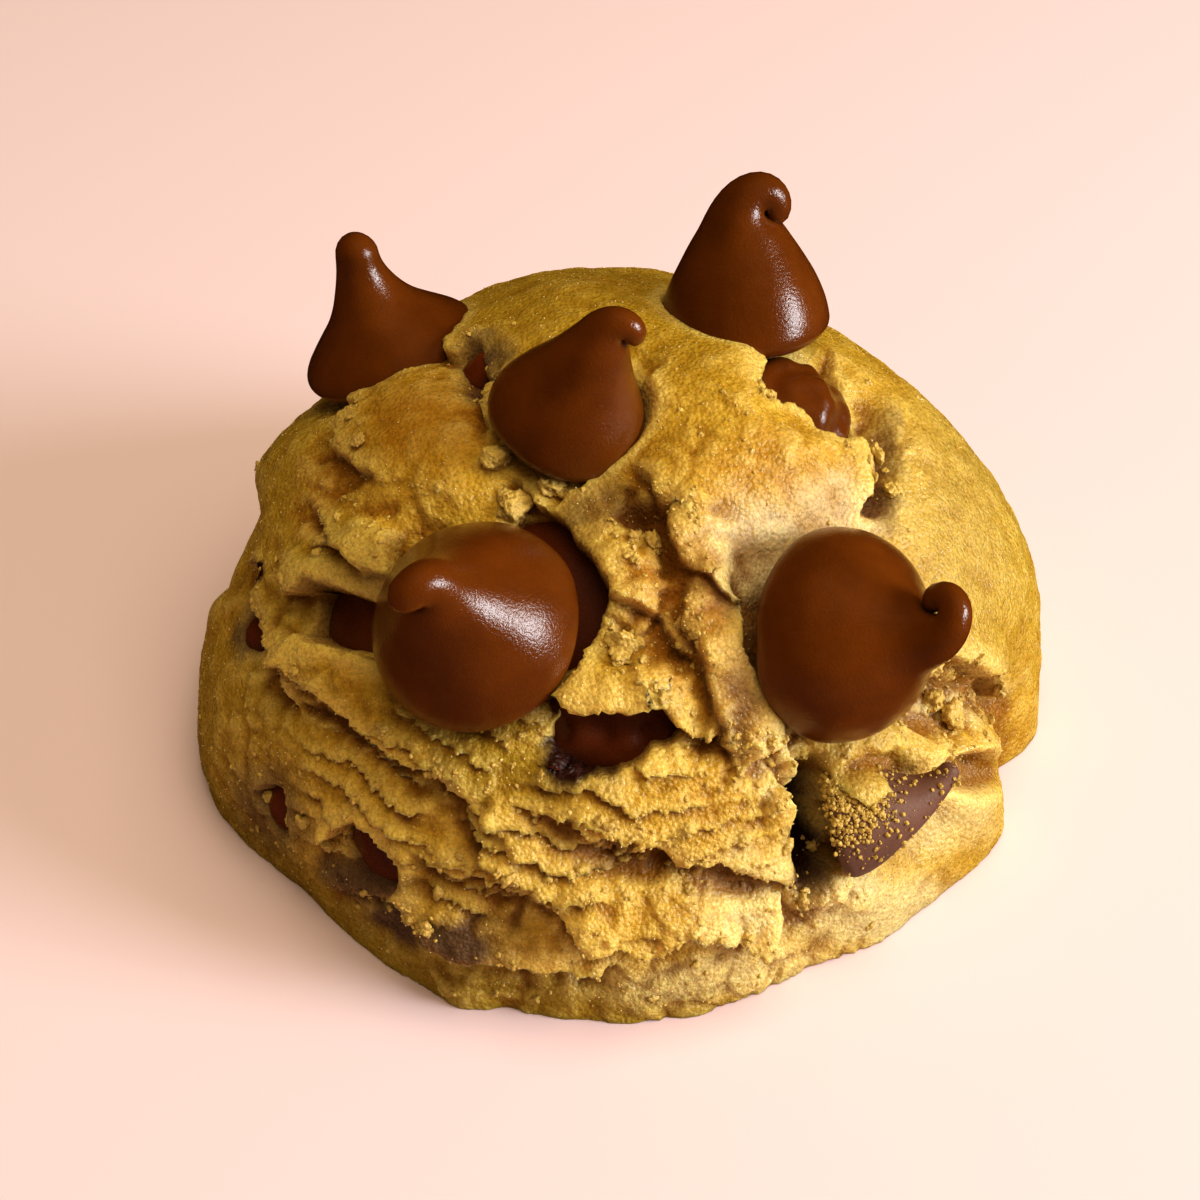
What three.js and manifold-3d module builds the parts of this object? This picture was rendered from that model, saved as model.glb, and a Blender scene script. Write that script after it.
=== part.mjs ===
// A scooped chocolate chip cookie: a tall round mound of crumbly dough with a
// level underside, five chips standing proud of it and others half buried.
// Millimetres, +Z up, the front of the cookie faces -Y.
import * as THREE from 'three';
import { ImprovedNoise } from 'three/addons/math/ImprovedNoise.js';
import { mergeVertices } from 'three/addons/utils/BufferGeometryUtils.js';
import Module from 'manifold-3d';

// The dough is a ball of this radius, cut level through its middle.
const MOUND_RADIUS = 26;
const MOUND_DETAIL = 21;
// Clear space left between a chip and the dough round it.
const SEAT_GAP = 0.3;

// The face is the side that carries most of the chips. Its middle points
// forwards and this many degrees up. A place on the mound is given by how far
// it lies to the right of that middle and how far above it, in millimetres.
const FACE_TILT = 43;

const DOUGH = { color: 0xc99a45, roughness: 0.72, metalness: 0 };
const CHOCOLATE = { color: 0x6b3010, roughness: 0.3, metalness: 0 };
const SUNKEN_CHOCOLATE = { color: 0x4a1c08, roughness: 0.36, metalness: 0 };
const DUSTY_CHOCOLATE = { color: 0x7d5340, roughness: 0.6, metalness: 0 };

// Chips that stand proud of the dough. The seat is the middle of a chip's
// widest ring and lift is how far that lies above the ball. Lean is where the
// chip points: degrees round from the front towards the right, then degrees up.
// Tip is the radius of its drawn-out end, which turns through curl degrees
// towards curlTo, starting at the share curlFrom of its length.
const STANDING_CHIPS = [
  {
    name: 'chip_front', seat: [-7.4, 3.2], lift: 0, lean: [-29, 55], outline: 'cone',
    radius: 5.6, length: 8.9, tip: 0.85, curl: 180, curlFrom: 0.66, curlTo: [-60, -40],
  },
  {
    name: 'chip_right', seat: [10.9, 2.9], lift: 0, lean: [51, 27], outline: 'onion',
    radius: 5.6, length: 10.7, tip: 0.7, curl: 220, curlFrom: 0.5, curlTo: [180, 47],
  },
  {
    name: 'chip_top_right', seat: [6.8, 21.1], lift: 0, lean: [-167, 77], outline: 'cone',
    radius: 4.9, length: 9.9, tip: 0.7, curl: 225, curlFrom: 0.5, curlTo: [90, 0],
  },
  {
    name: 'chip_top_left', seat: [-13.6, 19.8], lift: 0, lean: [-107, 70], outline: 'drop',
    radius: 5.2, length: 7.5, tip: 1.1, curl: 24, curlFrom: 0.1, curlTo: [90, 30],
  },
  {
    name: 'chip_centre', seat: [-3.1, 14.8], lift: -0.8, lean: [70, 70], outline: 'cone',
    radius: 4.3, length: 9.0, tip: 0.65, curl: 210, curlFrom: 0.66, curlTo: [80, -10],
  },
  {
    name: 'chip_lower_right', seat: [13.1, -7.2], lift: -2.2, lean: [90, 16], outline: 'cone',
    radius: 3.3, length: 6.7, tip: 0.5, curl: 50, curlFrom: 0.1, curlTo: [180, 47],
    look: DUSTY_CHOCOLATE,
  },
];

// Chips sunk in the dough, of which only the rounded back is seen.
const SUNKEN_CHIPS = [
  {
    name: 'chip_sunk_upper_right', seat: [10.6, 16.6], lift: -1.9, lean: [60, 48],
    radius: 3.3, length: 2.0,
  },
  {
    name: 'chip_sunk_left', seat: [-14.7, 3.8], lift: -3.2, lean: [-42, 40],
    radius: 3.7, length: 1.3,
  },
  {
    name: 'chip_sunk_beside_front', seat: [-4.9, 5.2], lift: -3.4, lean: [-16, 54],
    radius: 4.7, length: 1.3,
  },
  {
    name: 'chip_sunk_middle', seat: [-0.4, -2.5], lift: -2.2, lean: [2, 30],
    radius: 3.6, length: 1.3,
  },
  {
    name: 'chip_sunk_lower_left', seat: [-13.0, -8.8], lift: -1.9, lean: [-33, 16],
    radius: 2.6, length: 1.5,
  },
  {
    name: 'chip_sunk_far_left', seat: [-21.4, 3.1], lift: -1.6, lean: [-70, 30],
    radius: 1.4, length: 1.1,
  },
  {
    name: 'chip_sunk_left_foot', seat: [-19.8, -7.0], lift: -1.8, lean: [-54, 14],
    radius: 1.6, length: 1.2,
  },
  {
    name: 'chip_sunk_behind_centre', seat: [-8.1, 18.9], lift: -1.7, lean: [-100, 70],
    radius: 1.6, length: 1.3,
  },
];

// A chip's outline: share of its length, then share of the way from the tip's
// radius out to the widest one. A drop is hollow-sided, a cone nearly straight
// and an onion round with a thin neck; a sunken chip is a low dome.
const FOOT_OUTLINE = [[-0.095, 0.55], [-0.085, 0.8], [-0.05, 0.95], [0, 1]];
const END_OUTLINE = [[0.9, 0], [0.96, -0.03], [0.99, -0.09]];
const OUTLINES = {
  drop: [
    ...FOOT_OUTLINE, [0.05, 0.98], [0.11, 0.9], [0.18, 0.77], [0.27, 0.6], [0.37, 0.42],
    [0.48, 0.27], [0.6, 0.15], [0.72, 0.06], [0.82, 0.02], ...END_OUTLINE,
  ],
  cone: [
    ...FOOT_OUTLINE, [0.06, 0.98], [0.14, 0.92], [0.25, 0.8], [0.37, 0.63], [0.5, 0.44],
    [0.62, 0.28], [0.74, 0.15], [0.83, 0.07], ...END_OUTLINE,
  ],
  onion: [
    ...FOOT_OUTLINE, [0.08, 0.985], [0.16, 0.94], [0.24, 0.85], [0.32, 0.7], [0.4, 0.5],
    [0.48, 0.31], [0.56, 0.18], [0.64, 0.11], [0.73, 0.06], [0.82, 0.03], ...END_OUTLINE,
  ],
  sunken: [
    [-0.4, 0.6], [-0.3, 0.86], [-0.12, 0.98], [0, 1], [0.25, 0.95],
    [0.5, 0.8], [0.72, 0.56], [0.9, 0.28],
  ],
};
const STANDING_SIDES = 20;
const SUNKEN_SIDES = 14;
const SEAT_SIDES = 14;
// Corners nearer than this are one corner.
const WELD = 1e-4;
// The end of a chip winds up more and more tightly.
const CURL_TIGHTENING = 2;
const CURL_STEPS = 24;

// Places where the dough broke off in an overhanging edge. Walking along the
// line, the raised side is on the left hand.
const LEDGES = {
  lobeEdge: { line: [[-15, -7.5], [-12, -9.6], [-9.5, -12.4], [-5, -14]], lip: 0.7, drop: 1.1 },
  lobeEdgeRight: { line: [[-1.5, -12.4], [1, -12.8], [4, -12.3], [7.5, -13.3]], lip: 0.6, drop: 0.8 },
  cavityWall: { line: [[8.2, -13.3], [8.3, -10.6], [9.3, -9.2], [9, -5.6]], lip: 0.6, drop: 1.4 },
  noseEdge: { line: [[-2.6, 0.1], [0.6, -0.7], [2, 0], [4.1, -1.6]], lip: 0.9, drop: 1.4 },
  crescentWall: { line: [[-4.4, 10.3], [-1.7, 7.4], [-0.9, 3.8], [-2.6, 0.2]], lip: 0.5, drop: 1.1 },
  shoulderStep: { line: [[-17.8, 1.2], [-12.5, -2.6], [-6.5, -6]], lip: 0.5, drop: 0.7 },
  frontStep: { line: [[-6, -8.5], [-3.9, -9.8], [-1.2, -12.2]], lip: 0.5, drop: 0.7 },
  oliveEdge: { line: [[-17, 5.5], [-14.9, 5.2], [-12.5, 6]], lip: 0.7, drop: 1.0 },
  leftFold: { line: [[-21, 6.3], [-19.8, 3.4], [-18, 0.4]], lip: 0.5, drop: 0.9 },
  capEdge: { line: [[-10.5, 20.3], [-7.8, 18.4], [-7.4, 15.5]], lip: 0.3, drop: 0.8 },
  flankCrack: { line: [[-16, 17], [-15.3, 14.4], [-14, 11.8]], lip: 0.3, drop: 0.7 },
  hollowRoof: { line: [[-1.8, -6.8], [0, -7], [2.8, -8.4]], lip: 0.4, drop: 0.9 },
  hollowRoofRight: { line: [[3.8, -8.6], [7.6, -9.4]], lip: 0.4, drop: 0.7 },
  pitRoof: { line: [[15.9, 1.2], [19.9, 1.5], [23.1, 0.4]], lip: 0.4, drop: 1.0 },
};
const LIP_REACH = 1.6;
const DROP_REACH = 2.4;
const LEDGE_EDGE = 0.35;

// Rounded swellings (height above the ball) and hollows (height below it),
// each an oval with its two half widths.
const SWELLINGS = {
  leftLump: { at: [-11.2, 13.2], half: [5.2, 4.6], height: 0.8 },
  middleLump: { at: [5.6, 13.6], half: [6, 5], height: 1.0 },
  crag: { at: [2.6, 4], half: [3.4, 5], height: 0.9 },
  rightFlank: { at: [19, 10], half: [7, 9], height: 0.5 },
  frontLobe: { at: [-4, -6.5], half: [13, 6.5], height: 0.8 },
  farLeftLobe: { at: [-22.4, -2.5], half: [3, 5], height: 0.6 },
  leftShoulder: { at: [-20.4, 14.6], half: [4.4, 3.8], height: 0.5 },
  leftWaist: { at: [-24.4, 9.6], half: [3.2, 3.6], height: -1.9 },
  oliveLump: { at: [-14.8, 7.2], half: [3.6, 2], height: 0.8 },
  frontSocket: { at: [-7.2, 3.3], half: [6.6, 6.4], height: -1.1 },
  rightSocket: { at: [11.2, 3], half: [6.8, 7.4], height: -1.1 },
  centreSocket: { at: [-2.4, 12.6], half: [5.2, 4.4], height: -1.2 },
  leftPocket: { at: [-14.8, 3.7], half: [2.9, 2], height: -2.6 },
  crescentPocket: { at: [-2.9, 5.6], half: [1.9, 4.6], height: -2.8 },
  middlePocket: { at: [-0.3, -2.4], half: [3.4, 2], height: -2.2 },
  cavity: { at: [10.5, -7.6], half: [1.4, 3], height: -4.2 },
  crumbOnChip: { at: [13.1, -5.4], half: [2, 1.2], height: 2.4 },
  lowerRightPocket: { at: [14, -7.2], half: [5, 3.4], height: -1.9 },
  caramelHollow: { at: [1.1, -8.6], half: [2.6, 1.2], height: -1.0 },
  sideHollow: { at: [5.7, -9.9], half: [2.4, 0.9], height: -0.7 },
  brokenPit: { at: [18.8, -0.7], half: [4.4, 1.9], height: -1.5 },
  sideNotch: { at: [20.6, -4.6], half: [2.2, 1.2], height: -1.6 },
  redCrevice: { at: [1.5, 9.1], half: [1.5, 1], height: -1.2 },
  upperPocket: { at: [10, 16], half: [3.5, 2.9], height: -1.5 },
  rightValley: { at: [14.1, 13.3], half: [1.1, 3.4], height: -0.8 },
  lowerLeftPocket: { at: [-13, -8.8], half: [1.9, 1.9], height: -1.4 },
  farLeftNick: { at: [-21, 3.1], half: [1.2, 1.3], height: -1.4 },
  footNick: { at: [-19.4, -6.9], half: [1.2, 1.7], height: -1.4 },
  upperLeftNick: { at: [-20.8, 6.3], half: [0.9, 1.2], height: -1.2 },
  crownNick: { at: [-7.8, 18], half: [1.3, 1.6], height: -1.3 },
};

// Long rounded ridges, a half width each.
const RIDGES = {
  finger: { line: [[4.9, 5.8], [5, 3.6], [6.1, 1], [7, -1.4]], half: 1.5, height: 1.0 },
  browRidge: { line: [[-3.5, 22.6], [4, 18.5], [9.5, 13]], half: 3, height: 0.5 },
};

// Shingle-like layers across the front lobe, left by the scoop.
const LAYER_PITCH = 1.9;
const LAYER_HEIGHT = 0.45;
// They hang like a smile, low in the middle: how much they rise to each side,
// how wide the round bottom of the smile is and how far it is tilted.
const SMILE = { bend: 0.33, round: 4, tilt: -0.12 };
const LAYER_AREA = { at: [-4.5, -6], half: [13, 7] };

// Dents of the foot seen from above: degrees round from the front towards the
// right, depth and half width in degrees. They fade out up the side.
const FOOT_DENTS = [
  { round: -46, depth: 1.3, half: 13 },
  { round: -19, depth: -0.7, half: 4 },
  { round: 25, depth: 1.1, half: 10 },
  { round: 47, depth: 1.2, half: 14 },
  { round: 71, depth: 2.4, half: 7 },
  { round: 150, depth: 1.0, half: 16 },
  { round: -140, depth: 0.9, half: 14 },
];
const FOOT_FADE = 11;

// The face's relief dies out between these distances in front of the middle.
const FACE_EDGE = [-3, 1];
// Broad unevenness and crumbs: height, and how many millimetres one spans.
const BROAD = { height: 0.5, span: 9 };
const CRUMBS = { height: 0.35, span: 2 };
// The front's layers wander up and down by this share of a layer.
const LAYER_WANDER = { height: 0.7, span: 3.6 };

const rad = THREE.MathUtils.degToRad;
const faceUp = new THREE.Vector3(0, Math.sin(rad(FACE_TILT)), Math.cos(rad(FACE_TILT)));
const faceOut = new THREE.Vector3(0, -Math.cos(rad(FACE_TILT)), Math.sin(rad(FACE_TILT)));
const noise = new ImprovedNoise();

function direction([round, up]) {
  return new THREE.Vector3(
    Math.cos(rad(up)) * Math.sin(rad(round)),
    -Math.cos(rad(up)) * Math.cos(rad(round)),
    Math.sin(rad(up)),
  );
}

function placeOnFace([right, above], lift) {
  const out = Math.sqrt(MOUND_RADIUS ** 2 - right ** 2 - above ** 2);
  const spot = new THREE.Vector3(right, 0, 0);
  spot.addScaledVector(faceUp, above);
  spot.addScaledVector(faceOut, out);
  return spot.multiplyScalar(1 + lift / MOUND_RADIUS);
}

// How far a place lies from an open line, to its left (+) or right (-), and
// how far beyond the line's ends.
function nearLine(line, x, y) {
  let best = { gap: Infinity, side: 0, beyond: 0 };
  for (let i = 0; i < line.length - 1; i += 1) {
    const [ax, ay] = line[i];
    const [bx, by] = line[i + 1];
    const length = Math.hypot(bx - ax, by - ay);
    const ux = (bx - ax) / length;
    const uy = (by - ay) / length;
    const along = (x - ax) * ux + (y - ay) * uy;
    const held = Math.min(Math.max(along, 0), length);
    const across = (y - ay) * ux - (x - ax) * uy;
    const gap = Math.hypot(across, along - held);
    if (gap < best.gap) {
      best = { gap, side: Math.sign(across) * gap, beyond: Math.abs(along - held) };
    }
  }
  return best;
}

function ledgeRelief({ line, lip, drop }, x, y) {
  const { side, beyond } = nearLine(line, x, y);
  const fade = Math.exp(-((beyond / LIP_REACH) ** 2));
  const raised = THREE.MathUtils.smoothstep(side, -LEDGE_EDGE, LEDGE_EDGE);
  const above = lip * Math.exp(-((side / LIP_REACH) ** 2));
  const below = -drop * Math.exp(-((side / DROP_REACH) ** 2));
  return fade * (raised * above + (1 - raised) * below);
}

function ovalShare({ at, half }, x, y) {
  const reach = Math.hypot((x - at[0]) / half[0], (y - at[1]) / half[1]);
  return Math.exp(-(reach ** 4));
}

function ridgeRelief({ line, half, height }, x, y) {
  const { gap } = nearLine(line, x, y);
  return height * Math.exp(-((gap / half) ** 2));
}

function uneven({ height, span }, x, y, z) {
  return height * noise.noise(x / span, y / span, z / span);
}

function layerRelief(x, y) {
  const wander = uneven(LAYER_WANDER, x, y, 0);
  const smile = SMILE.bend * Math.hypot(x, SMILE.round) + SMILE.tilt * x;
  const step = (y - smile) / LAYER_PITCH + wander;
  const share = step - Math.floor(step);
  return LAYER_HEIGHT * (0.5 - share) * ovalShare(LAYER_AREA, x, y);
}

function faceRelief(x, y) {
  let relief = layerRelief(x, y);
  for (const ledge of Object.values(LEDGES)) {
    relief += ledgeRelief(ledge, x, y);
  }
  for (const swelling of Object.values(SWELLINGS)) {
    relief += swelling.height * ovalShare(swelling, x, y);
  }
  for (const ridge of Object.values(RIDGES)) {
    relief += ridgeRelief(ridge, x, y);
  }
  return relief;
}

function footRelief(heading) {
  const round = THREE.MathUtils.radToDeg(Math.atan2(heading.x, -heading.y));
  const fade = Math.exp(-((heading.z * MOUND_RADIUS / FOOT_FADE) ** 2));
  let relief = 0;
  for (const { round: middle, depth, half } of FOOT_DENTS) {
    relief -= depth * Math.exp(-(((round - middle) / half) ** 2));
  }
  return relief * fade;
}

function doughRadius(heading) {
  const spot = heading.clone().multiplyScalar(MOUND_RADIUS);
  const outwards = spot.dot(faceOut);
  const onFace = THREE.MathUtils.smoothstep(outwards, ...FACE_EDGE);
  const face = onFace * faceRelief(spot.x, spot.dot(faceUp));
  const rough = uneven(BROAD, ...spot) + uneven(CRUMBS, ...spot);
  return MOUND_RADIUS + face + footRelief(heading) + rough;
}

const wasm = await Module();
wasm.setup();

// A lathe leaves zero-area triangles where its profile meets the axis; a solid
// is made without them.
function toSolid(geometry) {
  const bare = geometry.clone();
  bare.deleteAttribute('normal');
  bare.deleteAttribute('uv');
  const welded = mergeVertices(bare, WELD);
  const corners = welded.index.array;
  const kept = [];
  for (let i = 0; i < corners.length; i += 3) {
    const [a, b, c] = corners.slice(i, i + 3);
    if (a !== b && b !== c && c !== a) {
      kept.push(a, b, c);
    }
  }
  return new wasm.Manifold(new wasm.Mesh({
    numProp: 3,
    vertProperties: Float32Array.from(welded.attributes.position.array),
    triVerts: Uint32Array.from(kept),
  }));
}

function toMesh(solid, name, look) {
  const { vertProperties, triVerts } = solid.getMesh();
  const geometry = new THREE.BufferGeometry();
  geometry.setAttribute('position', new THREE.BufferAttribute(vertProperties, 3));
  geometry.setIndex(new THREE.BufferAttribute(triVerts, 1));
  geometry.computeVertexNormals();
  const mesh = new THREE.Mesh(geometry, new THREE.MeshStandardMaterial(look));
  mesh.name = name;
  return mesh;
}

// Where the middle of a chip runs, at a distance along it: how far up its axis,
// how far towards its curl and how much it is turned there.
function chipMiddle({ length, curl = 0, curlFrom = 0.5 }, along) {
  const start = curlFrom * length;
  const step = Math.max(0, along - start) / CURL_STEPS;
  let rise = Math.min(along, start);
  let shift = 0;
  let turn = 0;
  for (let i = 0; i < CURL_STEPS && step > 0; i += 1) {
    const share = (i + 0.5) * step / (length - start);
    turn = rad(curl) * share ** CURL_TIGHTENING;
    rise += Math.cos(turn) * step;
    shift += Math.sin(turn) * step;
  }
  return { rise, shift, turn };
}

// A chip in its own frame: turned about +Y, then bent towards +X. Grow makes
// it thicker all round by that much, which gives the seat it lies in.
function chipGeometry(chip, sides, grow) {
  const { radius, length, tip = 0 } = chip;
  const outline = OUTLINES[chip.outline ?? 'sunken'];
  const profile = [new THREE.Vector2(0, outline[0][0] * length - grow)];
  for (const [up, out] of outline) {
    const wide = tip + (radius - tip) * out + grow;
    const high = up * length + grow * (up < 0 ? -1 : up);
    profile.push(new THREE.Vector2(wide, high));
  }
  profile.push(new THREE.Vector2(0, length + grow));
  const geometry = new THREE.LatheGeometry(profile, sides);
  const position = geometry.attributes.position;
  for (let i = 0; i < position.count; i += 1) {
    const { rise, shift, turn } = chipMiddle(chip, position.getY(i));
    const across = position.getX(i);
    position.setX(i, shift + across * Math.cos(turn));
    position.setY(i, rise - across * Math.sin(turn));
  }
  return geometry;
}

function chipPlace({ seat, lift, lean, curlTo = [90, 0] }) {
  const axis = direction(lean);
  const towards = direction(curlTo);
  towards.addScaledVector(axis, -towards.dot(axis)).normalize();
  const sideways = new THREE.Vector3().crossVectors(towards, axis);
  const place = new THREE.Matrix4().makeBasis(towards, axis, sideways);
  return place.setPosition(placeOnFace(seat, lift));
}

function chipMesh(chip, sides, look) {
  const mesh = toMesh(toSolid(chipGeometry(chip, sides, 0)), chip.name, look);
  mesh.applyMatrix4(chipPlace(chip));
  return mesh;
}

function moundSolid() {
  const ball = new THREE.IcosahedronGeometry(MOUND_RADIUS, MOUND_DETAIL);
  const position = ball.attributes.position;
  const heading = new THREE.Vector3();
  for (let i = 0; i < position.count; i += 1) {
    heading.fromBufferAttribute(position, i).normalize();
    heading.multiplyScalar(doughRadius(heading));
    position.setXYZ(i, heading.x, heading.y, heading.z);
  }
  const span = MOUND_RADIUS * 3;
  const below = new THREE.BoxGeometry(span, span, span);
  below.translate(0, 0, -span / 2);
  return toSolid(ball).subtract(toSolid(below));
}

function cutSeats(dough, chips) {
  let left = dough;
  for (const chip of chips) {
    const seat = chipGeometry(chip, SEAT_SIDES, SEAT_GAP);
    left = left.subtract(toSolid(seat.applyMatrix4(chipPlace(chip))));
  }
  return left;
}

const group = new THREE.Group();
const dough = cutSeats(moundSolid(), [...STANDING_CHIPS, ...SUNKEN_CHIPS]);
group.add(toMesh(dough, 'dough', DOUGH));
for (const chip of STANDING_CHIPS) {
  group.add(chipMesh(chip, STANDING_SIDES, chip.look ?? CHOCOLATE));
}
for (const chip of SUNKEN_CHIPS) {
  group.add(chipMesh(chip, SUNKEN_SIDES, SUNKEN_CHOCOLATE));
}

export default group;
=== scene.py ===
# %% [markdown]
# # A scooped chocolate chip cookie
# A tall mound of buttery cookie dough that kept the dome of its scoop, with
# milk chocolate chips standing in it and others half buried. This script
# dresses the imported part: it makes the fine crumb, the polished chips, the
# loose crumbs and the light. Everything stays in the part's own frame.

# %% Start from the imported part
import math

import bmesh
import bpy
import numpy as np
from mathutils import Matrix, Vector, noise


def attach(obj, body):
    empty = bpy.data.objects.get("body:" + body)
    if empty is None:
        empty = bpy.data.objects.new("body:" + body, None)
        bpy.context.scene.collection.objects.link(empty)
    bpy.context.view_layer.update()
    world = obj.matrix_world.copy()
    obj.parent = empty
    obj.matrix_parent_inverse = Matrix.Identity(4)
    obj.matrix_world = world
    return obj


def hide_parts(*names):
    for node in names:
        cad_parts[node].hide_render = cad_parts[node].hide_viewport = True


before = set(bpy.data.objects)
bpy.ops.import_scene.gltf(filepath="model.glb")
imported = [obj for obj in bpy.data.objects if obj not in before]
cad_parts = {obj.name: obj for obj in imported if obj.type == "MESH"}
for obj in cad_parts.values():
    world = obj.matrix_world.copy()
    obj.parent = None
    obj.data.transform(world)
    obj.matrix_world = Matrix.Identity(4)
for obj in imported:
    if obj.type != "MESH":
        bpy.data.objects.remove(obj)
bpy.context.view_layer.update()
MM = 0.001
print("parts:", ", ".join(sorted(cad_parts)))

# %% [markdown]
# ## Places on the mound
# The dough is a ball of 26 mm cut level through its middle. The side with the
# chips, its face, looks forwards and 43 degrees up. A place on the face is
# written as two lengths in millimetres: how far right of the face's middle,
# and how far above it. That keeps a crack or a chip easy to point at.

# %% The face of the mound
MOUND_RADIUS = 26.0
FACE_TILT = math.radians(43)
FACE_RIGHT = Vector((1, 0, 0))
FACE_UP = Vector((0, math.sin(FACE_TILT), math.cos(FACE_TILT)))
FACE_OUT = Vector((0, -math.cos(FACE_TILT), math.sin(FACE_TILT)))


def direction(round_degrees, up_degrees):
    """A heading: degrees round from the front towards the right, then up."""
    turn, up = math.radians(round_degrees), math.radians(up_degrees)
    return Vector((math.cos(up) * math.sin(turn), -math.cos(up) * math.cos(turn), math.sin(up)))


def place_on_face(right, above, lift=0.0):
    out = math.sqrt(MOUND_RADIUS**2 - right**2 - above**2)
    spot = right * FACE_RIGHT + above * FACE_UP + out * FACE_OUT
    return spot * (1 + lift / MOUND_RADIUS)


print("the face's middle is at", tuple(round(n, 1) for n in place_on_face(0, 0)), "mm")

# %% [markdown]
# ## Colours and nodes
# Colours are written as they look on a screen. Cycles works in linear light,
# so one function turns them. One more adds a shader node with its settings
# and links, and a few more spell out the kinds of node that come back.

# %% Helpers for colours and nodes
def screen_colour(code):
    """A hex colour as it looks on a screen, turned to linear light."""
    parts = [int(code[i : i + 2], 16) / 255 for i in (1, 3, 5)]
    return (*(p / 12.92 if p <= 0.04045 else ((p + 0.055) / 1.055) ** 2.4 for p in parts), 1.0)


def add_node(tree, kind, settings, inputs):
    """Adds a node. An input is a value, or another node's output to link."""
    made = tree.nodes.new(kind)
    for name, value in settings.items():
        setattr(made, name, value)
    for name, value in inputs.items():
        if isinstance(value, bpy.types.NodeSocket):
            tree.links.new(value, made.inputs[name])
        else:
            made.inputs[name].default_value = value
    return made


def new_material(name, settings):
    """A material, its node tree and its shader, with these sockets set."""
    material = bpy.data.materials.new(name)
    material.use_nodes = True
    shader = material.node_tree.nodes["Principled BSDF"]
    for socket, value in settings.items():
        shader.inputs[socket].default_value = value
    return material, material.node_tree, shader


def texture(tree, kind, place, millimetres, settings):
    """The outputs of a noise or of cells whose grains lie this far apart."""
    scale = 1 / (millimetres * MM)
    return add_node(tree, kind, {}, {"Vector": place, "Scale": scale, **settings}).outputs


def spread(tree, value, low, high, least=0.0, most=1.0):
    """What lies between low and high, spread out from least to most."""
    return add_node(tree, "ShaderNodeMapRange", {}, {
        "Value": value, "From Min": low, "From Max": high, "To Min": least, "To Max": most}).outputs["Result"]


def mixed(tree, share, first, second, blend="MIX"):
    """Two colours mixed. The sockets go by number: colours are 6 and 7."""
    return add_node(tree, "ShaderNodeMix", {"data_type": "RGBA", "blend_type": blend}, {
        0: share, 6: first, 7: second}).outputs[2]


def bumped(tree, strength, depth, height):
    return add_node(tree, "ShaderNodeBump", {}, {
        "Strength": strength, "Distance": depth * MM, "Height": height}).outputs["Normal"]


print("butter yellow in linear light:", [round(c, 3) for c in screen_colour("#e3bd68")[:3]])

# %% [markdown]
# ## Chocolate chips
# A chip is a drop of milk chocolate: a round foot, a hollow-sided cone, and a
# thin end that curled over when the nozzle let go. Turning an outline about
# its axis gives the drop, and bending that about its own middle line gives
# the curl. The alternative, sculpting each, would lose the even round foot.

# %% Where the chips sit
# Each seat is the middle of a chip's widest ring, lift is how far off the ball
# it is, and lean is where the chip points. The curl is how many degrees the
# thin end turns, from which share of the length on, and towards where.
STANDING_CHIPS = {
    "chip_front": dict(seat=(-7.4, 3.2), lift=0, lean=(-29, 55), radius=5.6, length=8.9, outline="cone",
                       tip=0.85, curl=210, curl_from=0.7, curl_to=(-60, -40)),
    "chip_right": dict(seat=(10.9, 2.9), lift=0, lean=(51, 27), radius=5.6, length=10.9, outline="onion",
                       tip=0.65, curl=285, curl_from=0.5, curl_to=(180, 47)),
    "chip_top_right": dict(seat=(6.8, 21.1), lift=0, lean=(-167, 77), radius=4.9, length=9.9, outline="cone",
                           tip=0.75, curl=280, curl_from=0.52, curl_to=(90, 0)),
    "chip_top_left": dict(seat=(-13.6, 19.8), lift=0, lean=(-107, 70), radius=5.2, length=7.5, outline="drop",
                          tip=1.1, curl=24, curl_from=0.1, curl_to=(90, 30)),
    "chip_centre": dict(seat=(-3.1, 14.8), lift=-0.8, lean=(70, 70), radius=4.3, length=9.0, outline="cone",
                        tip=0.65, curl=235, curl_from=0.66, curl_to=(80, -10)),
    "chip_lower_right": dict(seat=(13.1, -7.2), lift=-2.2, lean=(90, 16), radius=3.3, length=6.7,
                             outline="cone", tip=0.5, curl=50, curl_from=0.1, curl_to=(180, 47)),
}
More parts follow.
